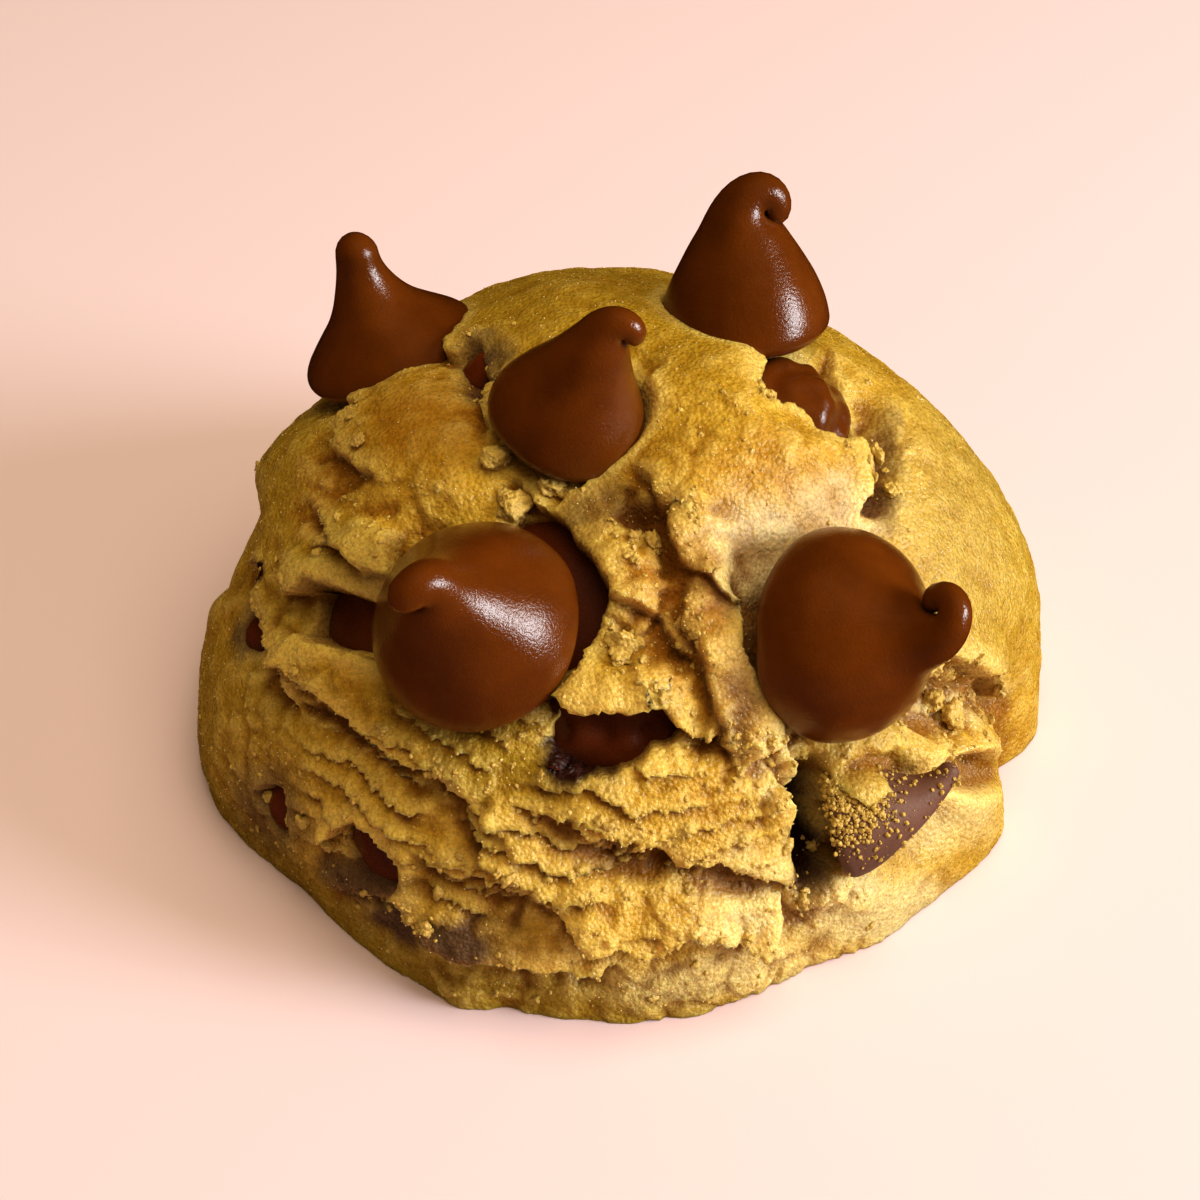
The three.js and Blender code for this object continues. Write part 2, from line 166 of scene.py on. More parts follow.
# A sunken chip shows through an opening in the dough: a line, and how far
# the opening reaches to each side of it.
SUNKEN_CHIPS = {
    "chip_sunk_upper_right": dict(seat=(10.6, 16.6), lift=-1.9, lean=(60, 48), radius=3.3, length=2.0,
                                  opening=(((8.6, 17.3), (10.3, 16.6), (12.0, 14.9)), 1.35)),
    "chip_sunk_left": dict(seat=(-14.7, 3.8), lift=-3.2, lean=(-42, 40), radius=3.7, length=1.3,
                           opening=(((-16.0, 3.9), (-14.6, 3.8), (-11.8, 3.4)), 1.75)),
    "chip_sunk_beside_front": dict(seat=(-4.9, 5.2), lift=-3.4, lean=(-16, 54), radius=4.7, length=1.3,
                                   opening=(((-4.7, 9.1), (-2.9, 7.4), (-1.8, 5.1), (-1.7, 3.0), (-2.4, 0.7)),
                                            1.1)),
    "chip_sunk_middle": dict(seat=(-0.4, -2.5), lift=-2.2, lean=(2, 30), radius=3.6, length=1.3,
                             opening=(((-2.2, -2.1), (-0.6, -2.6), (1.9, -1.7)), 1.35)),
    "chip_sunk_lower_left": dict(seat=(-13.0, -8.8), lift=-1.9, lean=(-33, 16), radius=2.6, length=1.5,
                                 opening=(((-14.1, -7.7), (-13.0, -8.7), (-11.9, -9.7)), 0.95)),
    "chip_sunk_far_left": dict(seat=(-21.4, 3.1), lift=-1.6, lean=(-70, 30), radius=1.4, length=1.1,
                               opening=(((-21.1, 3.5), (-20.5, 2.6)), 0.7)),
    "chip_sunk_left_foot": dict(seat=(-19.8, -7.0), lift=-1.8, lean=(-54, 14), radius=1.6, length=1.2,
                                opening=(((-19.8, -5.9), (-19.2, -6.9), (-18.7, -7.8)), 0.55)),
    "chip_sunk_behind_centre": dict(seat=(-8.1, 18.9), lift=-1.7, lean=(-100, 70), radius=1.6, length=1.3,
                                    opening=(((-8.6, 19.0), (-8.0, 18.0)), 0.6)),
}
# Outlines: share of the length, then share of the way from the tip's radius
# out to the widest one.
FOOT_OUTLINE = ((-0.095, 0.0), (-0.095, 0.3), (-0.092, 0.6), (-0.075, 0.86), (-0.045, 0.96), (0, 1))
OUTLINES = {
    "drop": (*FOOT_OUTLINE, (0.05, 0.98), (0.11, 0.9), (0.18, 0.77), (0.27, 0.6), (0.37, 0.42),
             (0.48, 0.27), (0.6, 0.15), (0.72, 0.06), (0.82, 0.02), (0.9, 0.01), (1, 0)),
    "cone": (*FOOT_OUTLINE, (0.06, 0.98), (0.14, 0.92), (0.25, 0.8), (0.37, 0.63), (0.5, 0.44),
             (0.62, 0.28), (0.74, 0.15), (0.84, 0.07), (0.92, 0.03), (1, 0)),
    "onion": (*FOOT_OUTLINE, (0.08, 0.985), (0.16, 0.94), (0.24, 0.85), (0.32, 0.7), (0.4, 0.5),
              (0.48, 0.31), (0.56, 0.18), (0.64, 0.11), (0.73, 0.06), (0.82, 0.03), (0.9, 0.01), (1, 0)),
    "sunken": ((-0.4, 0.0), (-0.4, 0.6), (-0.3, 0.86), (-0.12, 0.98), (0, 1), (0.25, 0.95),
               (0.5, 0.8), (0.72, 0.56), (0.9, 0.28), (0.97, 0.12), (1, 0)),
}
print(len(STANDING_CHIPS), "standing chips and", len(SUNKEN_CHIPS), "sunken ones")

# %% Turn and bend a chip
# The curl closes faster towards the tip by this power. The rest are steps:
# along the curl, round the chip, between two outline points and over the tip.
CURL_TIGHTENING = 2
CURL_STEPS, CHIP_SIDES, OUTLINE_STEPS, END_STEPS = 24, 72, 4, 6
MERGE_WITHIN = 1e-3


def rounded_outline(points):
    """The outline with curved steps between its points (a Catmull-Rom curve)."""
    held = [np.array(p, float) for p in (points[0], *points, points[-1])]
    curve = []
    for before, start, end, after in zip(held, held[1:], held[2:], held[3:]):
        for t in np.arange(OUTLINE_STEPS) / OUTLINE_STEPS:
            curve.append(0.5 * (2 * start + (end - before) * t
                                + (2 * before - 5 * start + 4 * end - after) * t**2
                                + (3 * start - before - 3 * end + after) * t**3))
    return curve + [held[-1]]


def chip_middle(chip, along):
    """Rise up the axis, shift towards the curl and turn, that far along a chip."""
    if "curl" not in chip:
        return along, 0.0, 0.0
    start = chip["curl_from"] * chip["length"]
    step = max(0.0, along - start) / CURL_STEPS
    rise, shift, turn = min(along, start), 0.0, 0.0
    for i in range(CURL_STEPS if step > 0 else 0):
        share = (i + 0.5) * step / (chip["length"] - start)
        turn = math.radians(chip["curl"]) * share**CURL_TIGHTENING
        rise += math.cos(turn) * step
        shift += math.sin(turn) * step
    return rise, shift, turn


def chip_place(chip):
    """The chip's own frame: first axis towards its curl, third up the chip."""
    axis = direction(*chip["lean"])
    towards = direction(*chip.get("curl_to", (90, 0)))
    towards = (towards - towards.dot(axis) * axis).normalized()
    seat = place_on_face(*chip["seat"], chip["lift"])
    return Matrix.Translation(seat) @ Matrix((towards, axis.cross(towards), axis)).transposed().to_4x4()


def from_chip(spots, chip):
    """How far each spot is from a chip's axis, and how far up the chip."""
    own = np.array(chip_place(chip).inverted())
    local = spots @ own[:3, :3].T + own[:3, 3]
    return np.hypot(local[:, 0], local[:, 1]), local[:, 2]


def outline_of(chip):
    return OUTLINES[chip.get("outline", "sunken")]


def chip_rim(chip):
    """Height and radius up the side of a chip, its thin end rounded off."""
    tip, wide, length = chip.get("tip", 0), chip["radius"], chip["length"]
    rim = [(up * length, tip + (wide - tip) * out) for up, out in rounded_outline(outline_of(chip))]
    rim = [(rim[0][0], 0.0), *rim[1:]]
    if tip:
        rim = [(up, out) for up, out in rim if up < length - tip]
        base, end = rim[-1]
        for angle in np.linspace(0, math.pi / 2, END_STEPS + 1)[1:]:
            rim.append((base + (length - base) * math.sin(angle), end * math.cos(angle)))
    return rim


def turned_chip(chip):
    """A chip as a bmesh in millimetres, in the part's frame."""
    bm = bmesh.new()
    rim = [bm.verts.new((out, 0, up)) for up, out in chip_rim(chip)]
    edges = [bm.edges.new(pair) for pair in zip(rim, rim[1:])]
    bmesh.ops.spin(bm, geom=rim + edges, cent=(0, 0, 0), axis=(0, 0, 1), angle=2 * math.pi,
                   steps=CHIP_SIDES, use_merge=True, use_duplicate=False)
    bmesh.ops.remove_doubles(bm, verts=bm.verts, dist=MERGE_WITHIN)
    bmesh.ops.recalc_face_normals(bm, faces=bm.faces)
    place = chip_place(chip)
    for v in bm.verts:
        rise, shift, turn = chip_middle(chip, v.co.z)
        v.co = place @ Vector((shift + v.co.x * math.cos(turn), v.co.y, rise - v.co.x * math.sin(turn)))
    return bm


print("a drop's outline has", len(rounded_outline(OUTLINES["drop"])), "points")

# %% [markdown]
# Shapes are made in millimetres, and every piece ends in the same way: it is
# scaled to metres, shaded smooth and seated in the part's frame. One that
# stands for a node of the part says which, and that node's shape is hidden.

# %% Finish a piece
def mesh_from(bm, name):
    mesh = bpy.data.meshes.new(name)
    bm.to_mesh(mesh)
    bm.free()
    return mesh


def add_object(name, data):
    made = bpy.data.objects.new(name, data)
    bpy.context.scene.collection.objects.link(made)
    return made


def finished_piece(bm, name, node):
    """Scales a bmesh to metres, makes its object and seats it in the frame."""
    bmesh.ops.scale(bm, vec=(MM, MM, MM), verts=bm.verts)
    mesh = mesh_from(bm, name)
    mesh.shade_smooth()
    piece = add_object(name, mesh)
    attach(piece, "root")
    if node:
        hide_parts(node)
    return piece


print("shapes are scaled by", MM)

# %% [markdown]
# Real chips are never perfectly turned: they slump, and a thumb or a warm
# tray leaves faint flats. A slow swell of a tenth of a millimetre is enough
# for the highlight to wander the way it does on the real ones.

# %% Make every chip
ALL_CHIPS = {**STANDING_CHIPS, **SUNKEN_CHIPS}
CHIP_SWELL = {"height": 0.16, "span": 3.6}
SUNKEN_SWELL = {"height": 0.16, "span": 2.2}
# These two were pressed while they were soft, so they are lumpy.
BUMPY_SWELL = {"height": 0.5, "span": 1.5}
BUMPY_CHIPS = ("chip_sunk_upper_right", "chip_sunk_middle")


def swell_of(name):
    if name in BUMPY_CHIPS:
        return BUMPY_SWELL
    return CHIP_SWELL if name in STANDING_CHIPS else SUNKEN_SWELL


chips = {}
for name, chip in ALL_CHIPS.items():
    bm = turned_chip(chip)
    bm.normal_update()
    swell = swell_of(name)
    moves = [v.normal * swell["height"] * noise.noise(v.co / swell["span"]) for v in bm.verts]
    for v, move in zip(bm.verts, moves):
        v.co += move
    chips[name] = finished_piece(bm, f"{name}_piece", name)
print("chips made:", len(chips), "with", len(chips["chip_front"].data.polygons), "faces on the front one")

# %% [markdown]
# ## The dough
# The mound starts as a ball of equal triangles, drawn together on the face
# so that the crumb there gets the finest ones. Its relief has three sizes:
# lumps, ledges and pockets of some millimetres, torn layers of one or two,
# and packed grains of a third of one. All are moves of the same mesh, so
# the crumb casts real shadows instead of being painted on.

# %% Ledges, where the dough tore and overhangs
# The line, the lip's height, the drop below it and how far the lip hangs
# over. Walking along the line, the raised side is on the left hand.
LEDGES = {
    "lobe_edge": (((-15, -7.5), (-12.8, -8.5), (-11.5, -10.1), (-10.3, -11.6), (-8.8, -12.8),
                   (-6.6, -13.7), (-3.7, -13.8), (-1.4, -14.1)), 0.8, 1.2, 0.6),
    "lobe_edge_right": (((-1.4, -12.2), (-0.1, -12.2), (0.7, -12.8), (2.9, -12.8), (3.9, -12.3),
                         (5.3, -12.6), (7.5, -13.3)), 0.7, 0.8, 0.5),
    "cavity_wall": (((8.2, -13.3), (8.4, -11.9), (8.1, -10.3), (9.1, -9.8), (9.3, -8.1),
                     (9.4, -6.5), (8.8, -5.6)), 0.7, 1.6, 0.3),
    "hanging_tongue": (((10.9, -6.9), (9.8, -5.2), (9.2, -4.0)), 0.5, 0.8, 0.3),
    "nose_edge": (((-2.6, 0.1), (-1.8, -0.6), (0.6, -0.7), (1.3, -0.1), (2.0, 0), (2.8, -1.0),
                   (4.1, -1.6)), 1.1, 1.5, 0.9),
    "crescent_wall": (((-4.4, 10.3), (-2.9, 9.2), (-1.6, 7.3), (-1.0, 5.1), (-0.9, 3.5), (-1.5, 1.8),
                       (-2.6, 0.2)), 0.6, 1.2, 0.5),
    "finger_right": (((7.2, -3.0), (8.0, -1.9), (7.0, 0.2), (5.8, 2.2), (5.7, 4.0)), 0.5, 0.7, 0.4),
    "finger_left": (((3.4, 4.2), (3.9, 2.0), (4.6, 0), (5.4, -2.4)), 0.4, 0.8, 0.3),
    "middle_sill": (((3.9, -1.6), (1.9, -3.0), (0.3, -4.0), (-1.4, -4.2)), 0.3, 0.4, 0.2),
    "crag_plate": (((1.9, 10.6), (2.9, 9.3), (2.4, 8.3), (2.7, 6.5), (4.4, 5.9), (5.2, 4.6)), 0.5, 0.9, 0.5),
    "crag_sheet": (((-0.4, 4.7), (0.8, 3.9), (2.0, 3.6), (3.0, 2.2)), 0.3, 0.9, 0.1),
    "shoulder_step": (((-17.8, 1.2), (-15.3, -0.4), (-12.5, -2.6), (-9.3, -4.0), (-6.9, -5.5),
                       (-6.2, -6.4)), 0.5, 0.7, 0.4),
    "front_step": (((-7.1, -6.5), (-6.1, -8.5), (-3.9, -9.8), (-2.7, -11.0), (-1.2, -12.2)),
                   0.5, 0.7, 0.4),
    "side_step": (((-8.9, -8.7), (-6.8, -9.3), (-5.6, -10.0)), 0.4, 0.6, 0.3),
    "olive_edge": (((-17.1, 5.5), (-14.9, 5.2), (-12.9, 5.4), (-12.4, 6.6)), 1.1, 1.2, 0.8),
    "left_pocket_sill": (((-12.4, 1.2), (-15.1, 1.6), (-16.9, 2.6)), 0.5, 0.8, 0.3),
    "crumb_edge": (((-15.5, 8.7), (-14.1, 7.3), (-13.4, 6.3), (-12.4, 6.4)), 0.5, 0.8, 0.4),
    "left_fold": (((-21.1, 6.3), (-20.6, 4.8), (-19.8, 3.4), (-18.8, 2.6), (-18.1, 0.4)),
                  0.5, 0.9, 0.3),
    "cap_edge": (((-10.5, 20.3), (-9.8, 19.3), (-7.8, 18.6), (-7.4, 17.1), (-7.4, 15.5)),
                 0.3, 0.9, 0.3),
    "centre_gap": (((1.2, 15.7), (0.1, 13.6), (-1.1, 11.9), (-2.3, 10.8)), 0.3, 0.8, 0.2),
    "flank_crack": (((-16.1, 17.3), (-15.1, 15.7), (-15.5, 14.4), (-15.3, 12.8), (-14, 11.8)),
                    0.3, 0.7, 0.2),
    "hollow_roof": (((-1.8, -6.8), (-1.0, -7.3), (0, -7.0), (0.6, -7.0), (1.7, -7.7), (2.8, -8.4)),
                    0.5, 0.9, 0.4),
    "hollow_roof_right": (((3.8, -8.6), (5.2, -8.6), (6.4, -9.2), (7.6, -9.4)), 0.4, 0.7, 0.3),
    "pit_roof": (((15.9, 1.2), (17.5, 2.3), (19.9, 1.5), (21.9, 1.3), (23.1, 0.4)), 0.4, 1.1, 0.3),
    "pit_sill": (((19.7, -3.1), (18.5, -3.2), (16.4, -2.0), (15.7, -1.0)), 0.3, 0.7, 0.1),
    "upper_pocket_edge": (((13.3, 10.9), (13.6, 12.3), (12.7, 13.5), (11.6, 14.0), (10.1, 15.0), (8.1, 15.4),
                           (7.0, 16.1), (7.6, 17.9)), 0.4, 0.8, 0.3),
    "upper_pocket_right": (((12.3, 18.1), (12.8, 16.6), (12.8, 14.7)), 0.3, 0.7, 0.2),
    "lower_pocket_roof": (((12.2, -4.6), (13.6, -5.8), (15.4, -6.0), (17.2, -5.2), (18.8, -5.0)),
                          1.0, 0.8, 0.9),
    "lower_pocket_sill": (((18.8, -5.3), (16.7, -7.6), (13.9, -10.0), (11.9, -10.1)), 0.4, 0.8, 0.1),
    "foot_step": (((-15.0, -11.2), (-12.3, -11.3)), 0.2, 0.4, 0.1),
}
# How far the lip, the drop and the overhang reach, and how sharp the step is.
LIP_REACH, DROP_REACH, HANG_REACH, LEDGE_EDGE = 1.6, 2.2, 0.8, 0.14
print(len(LEDGES), "ledges")

# %% Lumps, pockets, ridges and cracks
# Ovals: place, half widths, height above or below the ball.
SWELLINGS = {
    "left_lump": ((-11.2, 13.2), (5.2, 4.6), 0.8), "middle_lump": ((5.6, 13.6), (6, 5), 1.0),
    "crag": ((2.6, 4), (3.4, 5), 0.9), "right_flank": ((19, 10), (7, 9), 0.5),
    "front_lobe": ((-4, -6.5), (13, 6.5), 0.8), "far_left_lobe": ((-22.4, -2.5), (3, 5), 0.6),
    "left_shoulder": ((-20.4, 14.6), (4.4, 3.8), 0.5), "left_waist": ((-24.4, 9.6), (3.2, 3.6), -1.9),
    "olive_lump": ((-14.8, 7.2), (3.6, 2), 0.8), "front_socket": ((-7.2, 3.3), (6.6, 6.4), -1.1),
    "right_socket": ((11.2, 3), (6.8, 7.4), -1.1), "centre_socket": ((-2.4, 12.6), (5.2, 4.4), -1.2),
    "left_pocket": ((-14.6, 3.8), (2.6, 1.6), -1.0), "crescent_pocket": ((-3.2, 5.6), (1.8, 4.4), -1.0),
    "middle_pocket": ((-0.4, -2.3), (3.2, 1.6), -0.8), "cavity": ((10.5, -7.6), (1.3, 3), -5.5),
    "crumb_on_chip": ((13.1, -5.4), (2.0, 1.2), 2.4),
    "lower_right_pocket": ((14, -7.2), (5, 3.4), -1.9), "caramel_hollow": ((1.1, -8.6), (2.6, 1.2), -1.0),
    "side_hollow": ((5.7, -9.9), (2.4, 0.9), -0.7), "broken_pit": ((18.8, -0.7), (4.4, 1.9), -1.5),
    "side_notch": ((20.6, -4.6), (2.2, 1.2), -1.6), "red_crevice": ((1.5, 9.1), (1.5, 0.9), -1.2),
    "upper_pocket": ((10, 16), (3.5, 2.9), -1.5), "right_valley": ((14.1, 13.3), (1.1, 3.4), -0.8),
    "lower_left_pocket": ((-13.0, -8.8), (1.7, 1.8), -0.9), "far_left_nick": ((-20.9, 3.1), (0.8, 1.0), -1.0),
    "foot_nick": ((-19.3, -6.9), (0.7, 1.6), -0.9), "crown_nick": ((-7.8, 18), (1.3, 1.6), -0.9),
    "upper_left_nick": ((-20.8, 6.3), (0.5, 0.9), -1.6),
}
# Lines: half width and height.
RIDGES = {
    "finger": (((4.9, 5.8), (5.0, 3.6), (6.1, 1.0), (7.0, -1.4)), 1.5, 1.0),
    "brow": (((-3.5, 22.6), (4, 18.5), (9.5, 13)), 3.0, 0.5),
    "tongue": (((8.3, -2.8), (9.6, -4.8), (11.0, -6.4)), 0.9, 0.7),
    "red_crack": (((0.4, 10.6), (1.7, 9.0), (1.9, 7.4), (2.2, 5.8)), 0.35, -0.7),
    "valley": (((13.6, 16.3), (14.1, 14.2), (14.3, 12.1), (13.9, 10.3)), 0.6, -0.5),
    "notch": (((18.4, -3.6), (20.1, -4.3), (21.2, -4.0)), 0.5, -0.7),
    "cavity_cleft": (((10.4, -6.4), (10.5, -8.2), (10.3, -10.1)), 0.6, -1.0),
    "long_crack": (((-17.0, -1.1), (-11.4, -3.5), (-6.3, -5.6)), 0.3, -0.5),
}
# Dents of the foot seen from above: degrees round, depth, half width.
FOOT_DENTS = ((-46, 1.3, 13), (-19, -0.7, 4), (25, 1.1, 10), (47, 1.2, 14), (71, 2.4, 7),
              (150, 1.0, 16), (-140, 0.9, 14))
FOOT_FADE = 11
# The face's relief comes in between these depths behind and before its rim.
FACE_EDGE = (-3, 1)
print(len(SWELLINGS), "swellings,", len(RIDGES), "ridges and cracks,", len(FOOT_DENTS), "dents")

# %% [markdown]
# The front lobe is built of shingles: the scoop pressed the dough in thin
# sheets that hang like a smile, low in the middle. Elsewhere the tear is a
# plain crumble. Where the scoop's steel wiped the dough it stayed smooth, so
# each patch below says how crumbly it is.

# %% Torn layers
LAYER_PITCH, LAYER_HEIGHT, LAYER_HANG = 1.35, 0.6, 0.3
LAYER_AREA = ((-4.5, -6.0), (13.5, 7.4))
SMILE_BEND, SMILE_ROUND, SMILE_TILT = 0.33, 4.0, -0.12
# A slow noise leaves gaps in the layers, and they weaken towards the right.
LAYER_GAPS = {"span": 3.5, "none": -0.45, "full": 0.1}
LAYER_RIGHT, LAYER_FADE = 0.5, (5, -2)
# How their edges wander: height in layers, span in mm, seed and octaves.
LAYER_WANDER = ((0.55, 3.4, 8, 1), (0.22, 1.1, 9, 3), (0.1, 0.35, 16, 1))
# Shares of a layer: its hanging lip, its torn edge, and how torn that is.
LIP_WIDTH, TEAR_WIDTH, TEAR_SHARE = 0.3, 0.15, 0.8
print("layers every", LAYER_PITCH, "mm")

# %% Crumbly patches
# Ovals: place, half widths, strength.
CRUMBLY = (
    ((-4.5, -6.5), (14, 7.4), 0.75), ((2.2, 4.5), (3.6, 6.5), 1.0), ((7.5, -4), (3.4, 4), 0.9),
    ((18.8, -0.7), (5, 2.6), 1.0), ((-13.5, 8.3), (5.5, 3.6), 0.8), ((-17.5, 3), (4.6, 4.5), 0.7),
    ((-20, -5), (3.4, 5), 0.5), ((12, 13.5), (4.2, 2.6), 0.6), ((-14.6, 15.6), (2, 4), 0.6),
    ((10.5, -11.5), (3.6, 2.4), 0.9), ((16.5, -4), (5, 2), 0.7), ((5, 11), (5, 4), 0.45),
    ((-8, 17.5), (2.4, 3), 0.6), ((3, -12.6), (7, 1.6), 0.8), ((2, -15.6), (15, 2.4), 0.6),
)
# The least crumb on the face, its share behind, how it varies, and what a
# torn edge adds.
PLAIN_CRUMB, CRUMB_BEHIND, TORN_CRUMB = 0.14, 0.4, 0.3
CRUMB_VARIES, CRUMB_SPAN = 0.5, 2.6
# Places that stayed smooth among the crumbly ones.
SMOOTH = ((((5.0, 5.5), (5.1, 3.0), (6.2, 0.8), (7.0, -1.2)), 0.8), (((-14, 7.2), (-16, 7.0)), 1.4))
SMOOTHED = 0.8
print(len(CRUMBLY), "crumbly patches")

# %% [markdown]
# The ball has a hundred thousand corners, so the next helpers take all of
# them at once, as arrays. Noise gives what is uneven: smooth lumps, and cells
# of a Voronoi pattern for grains that are packed against each other. Ovals
# and lines give what has a place.

# %% Noise and packed grains
# A seed moves the noise this far. Finer octaves are weaker by the first
# number's power and closer by the second.
SEED_STEP = 41.7
OCTAVE_FALL, OCTAVE_STEP = 1.0, 2.0
# These scramble a grain's place into a number that looks random.
SCRAMBLE, SCRAMBLE_BY = (12.9898, 78.233, 37.719), 43758.5453


def smoothstep(value, low, high):
    """0 up to low, 1 from high, and an eased rise between them."""
    share = np.clip((value - low) / (high - low), 0, 1)
    return share * share * (3 - 2 * share)


def falloff(distance, reach):
    """1 at no distance, a third at this reach and next to nothing at twice it."""
    return np.exp(-((distance / reach) ** 2))


def lumps(spots, span, seed, octaves=1):
    """Smooth noise from about -1 to 1, with lumps this many mm across."""
    places = (spots / span + seed * SEED_STEP).tolist()
    return np.array([noise.fractal(place, OCTAVE_FALL, OCTAVE_STEP, octaves) for place in places])


def summed_lumps(spots, sizes):
    """Lumps of several sizes together: height, span, seed and octaves of each."""
    return sum(height * lumps(spots, span, seed, octaves) for height, span, seed, octaves in sizes)


def grains(spots, size, seed, groove_width):
    """Packed grains: 0 in the grooves to 1 on the grains, and each one's level."""
    found = [noise.voronoi(place) for place in (spots / size + seed * SEED_STEP).tolist()]
    near = np.array([[gaps[0], gaps[1]] for gaps, _ in found])
    middles = np.array([places[0][:] for _, places in found])
    level = np.sin(middles @ np.array(SCRAMBLE)) * SCRAMBLE_BY
    return smoothstep(near[:, 1] - near[:, 0], 0.0, groove_width), level - np.floor(level)


print("noise in the face's middle:", round(float(lumps(np.array([place_on_face(0, 0)]), 2.0, 1)[0]), 3))

# %% Ovals and lines
def oval(x, y, at, half):
    """1 inside an oval, falling off to 0 round its edge."""
    reach = np.hypot((x - at[0]) / half[0], (y - at[1]) / half[1])
    return np.exp(-(reach**4))


def near_line(line, x, y):
    """Distance to a line, the same with its side, how far beyond its ends, and
    the left-hand heading of the nearest stretch."""
    gap = np.full(x.shape, np.inf)
    side, beyond, left_x, left_y = (np.zeros(x.shape) for _ in range(4))
    for (ax, ay), (bx, by) in zip(line, line[1:]):
        length = math.hypot(bx - ax, by - ay)
        ux, uy = (bx - ax) / length, (by - ay) / length
        along = (x - ax) * ux + (y - ay) * uy
        across = (y - ay) * ux - (x - ax) * uy
        past = np.abs(along - np.clip(along, 0, length))
        here = np.hypot(across, past)
        nearer = here < gap
        gap = np.where(nearer, here, gap)
        side = np.where(nearer, np.sign(across) * here, side)
        beyond = np.where(nearer, past, beyond)
        left_x = np.where(nearer, -uy, left_x)
        left_y = np.where(nearer, ux, left_y)
    return gap, side, beyond, left_x, left_y


print("half a width from an oval's middle it is", round(float(oval(0.5, 0, (0, 0), (1, 1))), 2))

# %% [markdown]
# The ball comes from an icosphere, because its triangles are all alike. Each
# corner is then pulled towards the face before it is set back on the ball:
# that crowds the triangles to 0.18 mm where the camera looks and leaves
# 0.37 mm ones at the back.

# %% The ball that the dough is shaped from
CROWDING = 0.33
CROWD_TO = direction(0, 37)
BALL_LEVELS = 8
SPARE_BELOW = 1.0


def read_values(data, name, width, kind=float):
    """One row of numbers for each corner or edge of a mesh."""
    values = np.empty(len(data) * width, kind)
    data.foreach_get(name, values)
    return values.reshape(-1, width)


bm = bmesh.new()
bmesh.ops.create_icosphere(bm, subdivisions=BALL_LEVELS, radius=1.0)
for v in bm.verts:
    v.co = (v.co + CROWDING * CROWD_TO).normalized() * MOUND_RADIUS
bmesh.ops.bisect_plane(bm, geom=bm.verts[:] + bm.edges[:] + bm.faces[:], plane_co=(0, 0, -SPARE_BELOW),
                       plane_no=(0, 0, -1), clear_outer=True)
dough_mesh = mesh_from(bm, "dough_piece")
ball = read_values(dough_mesh.vertices, "co", 3)
corner_count = len(ball)
print("corners of the ball:", corner_count)

# %% Where each corner is on the face
# Torn lines wander by these amounts over these spans, so none is smooth.
RAGGED = ((0.5, 2.3), (0.3, 0.9))


def ragged(values, first_seed):
    for i, (amount, span) in enumerate(RAGGED):
        values = values + amount * lumps(ball, span, first_seed + i)
    return values


heading = ball / np.linalg.norm(ball, axis=1)[:, None]
across, above, outwards = (ball @ np.array(axis) for axis in (FACE_RIGHT, FACE_UP, FACE_OUT))
on_face = smoothstep(outwards, *FACE_EDGE)
ragged_x, ragged_y = ragged(across, 3), ragged(above, 5)
print("share of the ball on the face:", round(float(on_face.mean()), 2))

# %% Lay the ledges and lumps on the ball
relief = np.zeros(corner_count)
hang_x, hang_y, torn = (np.zeros(corner_count) for _ in range(3))
for line, lip, drop, hang in LEDGES.values():
    gap, side, beyond, left_x, left_y = near_line(line, ragged_x, ragged_y)
    fade = falloff(beyond, LIP_REACH)
    raised = smoothstep(side, -LEDGE_EDGE, LEDGE_EDGE)
    relief += fade * raised * lip * falloff(side, LIP_REACH)
    relief -= fade * (1 - raised) * drop * falloff(side, DROP_REACH)
    over = hang * fade * raised * falloff(side, HANG_REACH)
    hang_x -= over * left_x
    hang_y -= over * left_y
    torn = np.maximum(torn, fade * falloff(side, HANG_REACH))
for at, half, height in SWELLINGS.values():
    relief += height * oval(across, above, at, half)
for line, half, height in RIDGES.values():
    relief += height * falloff(near_line(line, ragged_x, ragged_y)[0], half)
print("ledges and lumps from", round(relief.min(), 2), "to", round(relief.max(), 2), "mm")

# %% Lay the torn layers over them
layer_share = oval(across, above, *LAYER_AREA)
layer_share *= smoothstep(lumps(ball, LAYER_GAPS["span"], 7), LAYER_GAPS["none"], LAYER_GAPS["full"])
layer_share *= LAYER_RIGHT + (1 - LAYER_RIGHT) * smoothstep(across, *LAYER_FADE)
smile = SMILE_BEND * np.hypot(across, SMILE_ROUND) + SMILE_TILT * across
step = (above - smile) / LAYER_PITCH + summed_lumps(ball, LAYER_WANDER)
share = step - np.floor(step)
relief += layer_share * LAYER_HEIGHT * (0.5 - share)
hang_y -= layer_share * LAYER_HANG * falloff(share, LIP_WIDTH)
torn = np.maximum(torn, TEAR_SHARE * layer_share * falloff(share, TEAR_WIDTH))
print("relief from", round(relief.min(), 2), "to", round(relief.max(), 2), "mm")

# %% How crumbly each corner is
crumbly = np.full(corner_count, PLAIN_CRUMB)
for at, half, strength in CRUMBLY:
    crumbly = np.maximum(crumbly, strength * oval(ragged_x, ragged_y, at, half))
crumbly = crumbly * (1 + CRUMB_VARIES * lumps(ball, CRUMB_SPAN, 10)) + TORN_CRUMB * torn
crumbly = np.clip(crumbly, 0, 1) * np.clip(on_face, CRUMB_BEHIND, 1)
for line, half in SMOOTH:
    crumbly *= 1 - SMOOTHED * np.exp(-((near_line(line, ragged_x, ragged_y)[0] / half) ** 4))
print("crumbly on average:", round(float(crumbly.mean()), 2))

